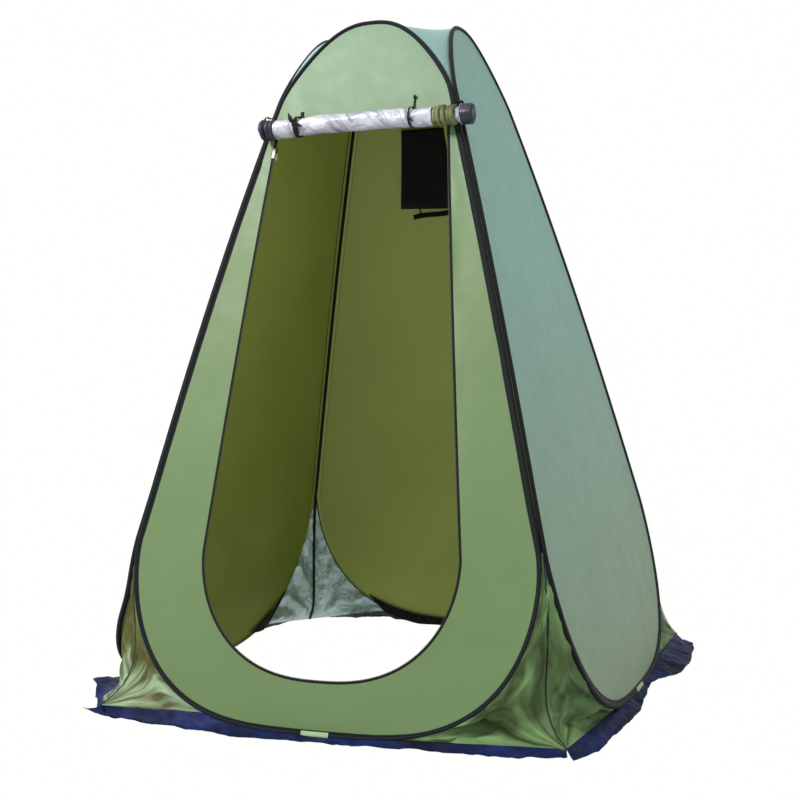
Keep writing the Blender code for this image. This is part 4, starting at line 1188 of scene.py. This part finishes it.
def pocket():
    """A flat netting pocket on the inside of the back wall: open at the top, sewn round the rest."""
    u, v = np.meshgrid(np.linspace(-1, 1, 35), np.linspace(0, 1, 31))
    low, top = (np.where(u < 0, *half) for half in (POCKET_HALF_LOW, POCKET_HALF_TOP))
    half = low + (top - low) * v
    along = POCKET_MIDDLE + half * u
    z = POCKET_LOW + (POCKET_HIGH - POCKET_LOW) * v + 0.004 * u * (1 - v)
    room = np.clip((1 - np.abs(u)) / 0.10, 0, 1) ** 0.5 * np.clip(v / 0.10, 0, 1) ** 0.5
    depth = 0.0012 + room * (0.0150 * (0.75 + 0.25 * v) + 0.0030 * uneven(on_wall(along, z), 0.07, 17, 3))
    grid = on_wall(along, z, -depth)[:, ::-1]
    made = cloth("pocket_cloth", "back_wall", turned(grid, "back"), ["netting"], NETTING,
                 nodes=["pocket_front", "pocket_edge"])
    on_side("pocket_hem", "back", spaced(grid[-1], 40), ribbon(0.0060, 0.0012), "webbing", -OUTWARDS)


def towel_strap():
    """A strap across the back wall under the pocket, sewn down at both ends, and its short link."""
    t = np.linspace(0, 1, 40)
    along, z = (a + (b - a) * t for a, b in zip(STRAP_FROM, STRAP_TO))
    off = 0.0022 + 0.0045 * np.sin(math.pi * t) + 0.0012 * np.sin(14 * t)
    on_side("towel_strap_webbing", "back", on_wall(along, z + 0.0018 * np.sin(9 * t), -off),
            ribbon(0.0078, 0.0009), "webbing", -OUTWARDS, nodes=["towel_strap"])
    path = on_wall([LINK_ALONG, LINK_ALONG + 0.001], [STRAP_FROM[1] + 0.006, POCKET_LOW + 0.003], -0.0055)
    on_side("strap_link_cord", "back", spaced(path, 8), circle(0.0022, 10), "webbing", -OUTWARDS,
            nodes=["towel_strap_link"])


def cad_finishes():
    """Materials for the part's own pieces that stay in sight."""
    finishes = {"zip_slider": "zip_metal", "zip_pull_outer": "pull_plastic", "zip_pull_inner": "pull_plastic"}
    finishes.update({f"{side}_hoop_ferrule": "spring_wire" for side in SIDES})
    for node, key in finishes.items():
        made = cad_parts[node]
        made.data.materials.clear()
        made.data.materials.append(MATERIALS[key])


front_wall()
for number, side in enumerate(SIDES):
    if side != "front":
        plain_wall(side, 20 + number)
    hoop_binding(side, 40 + number)
    joint_tab(side)
    skirt(side, 60 + number)
foot_band("back", -0.41, 0.41, -0.36, 0.36)
foot_band("left", -0.45, -0.24, -0.37, -0.33)
roof_cloth()
gussets()
corner_tapes()
door_zip()
rolled_door()
bunched("door_hem_left_cloth", LEFT_HEM, 0.0290, 3, "hem", "door_hem_left", 3)
bunched("door_coil_cloth", RIGHT_COIL, 0.0272, 5, "coil", "door_coil_right", 6)
wound_end()
door_ties()
guy_loops()
pocket()
towel_strap()
cad_finishes()


# Stage and camera


def look_from():
    """The camera, in front and a little to the right, near the height of the tent's middle."""
    target = Vector((0, 0, 0.826))
    azimuth, elevation, roll = math.radians(21.32), math.radians(2.67), math.radians(-1.32)
    back = Vector((math.sin(azimuth) * math.cos(elevation), -math.cos(azimuth) * math.cos(elevation),
                   math.sin(elevation)))
    right = Vector((0, 0, 1)).cross(back).normalized()
    up = back.cross(right)
    rolled_right = math.cos(roll) * right + math.sin(roll) * up
    rolled_up = math.cos(roll) * up - math.sin(roll) * right
    data = bpy.data.cameras.new("camera")
    data.sensor_width = 36
    data.lens = 61.5
    data.shift_x = -0.007
    made = bpy.data.objects.new("camera", data)
    turn = Matrix((rolled_right, rolled_up, back)).transposed().to_4x4()
    made.matrix_world = Matrix.Translation(target + back * 4.064) @ turn
    bpy.context.scene.collection.objects.link(made)
    bpy.context.scene.camera = made


def light(name, place, aim, size, power, colour):
    data = bpy.data.lights.new(name, "AREA")
    data.size = size
    data.energy = power
    data.color = colour
    made = bpy.data.objects.new(name, data)
    made.location = place
    made.rotation_mode = "QUATERNION"
    made.rotation_quaternion = (Vector(aim) - Vector(place)).to_track_quat("-Z", "Y")
    bpy.context.scene.collection.objects.link(made)


def stage():
    """White ground and sky, and one lamp from the front left."""
    material = bpy.data.materials.new("floor")
    material.use_nodes = True
    shader = material.node_tree.nodes["Principled BSDF"].inputs
    shader["Base Color"].default_value = (0, 0, 0, 1)
    shader["Specular IOR Level"].default_value = 0.0
    shader["Emission Color"].default_value = SKY
    shader["Emission Strength"].default_value = 1.0
    mesh = bpy.data.meshes.new("floor")
    mesh.from_pydata([(-40, -40, 0), (40, -40, 0), (40, 40, 0), (-40, 40, 0)], [], [(0, 1, 2, 3)])
    mesh.materials.append(material)
    floor = bpy.data.objects.new("floor", mesh)
    floor.location.z = -0.0005
    bpy.context.scene.collection.objects.link(floor)
    world = bpy.data.worlds.new("sky")
    world.use_nodes = True
    background = world.node_tree.nodes["Background"].inputs
    background["Color"].default_value = SKY
    background["Strength"].default_value = 1.0
    bpy.context.scene.world = world
    bpy.context.scene.view_settings.view_transform = "Standard"
    light("key", (-2.6, -3.8, 4.6), (0, 0, 0.9), 1.3, 420, (1.0, 0.98, 0.93))


look_from()
stage()
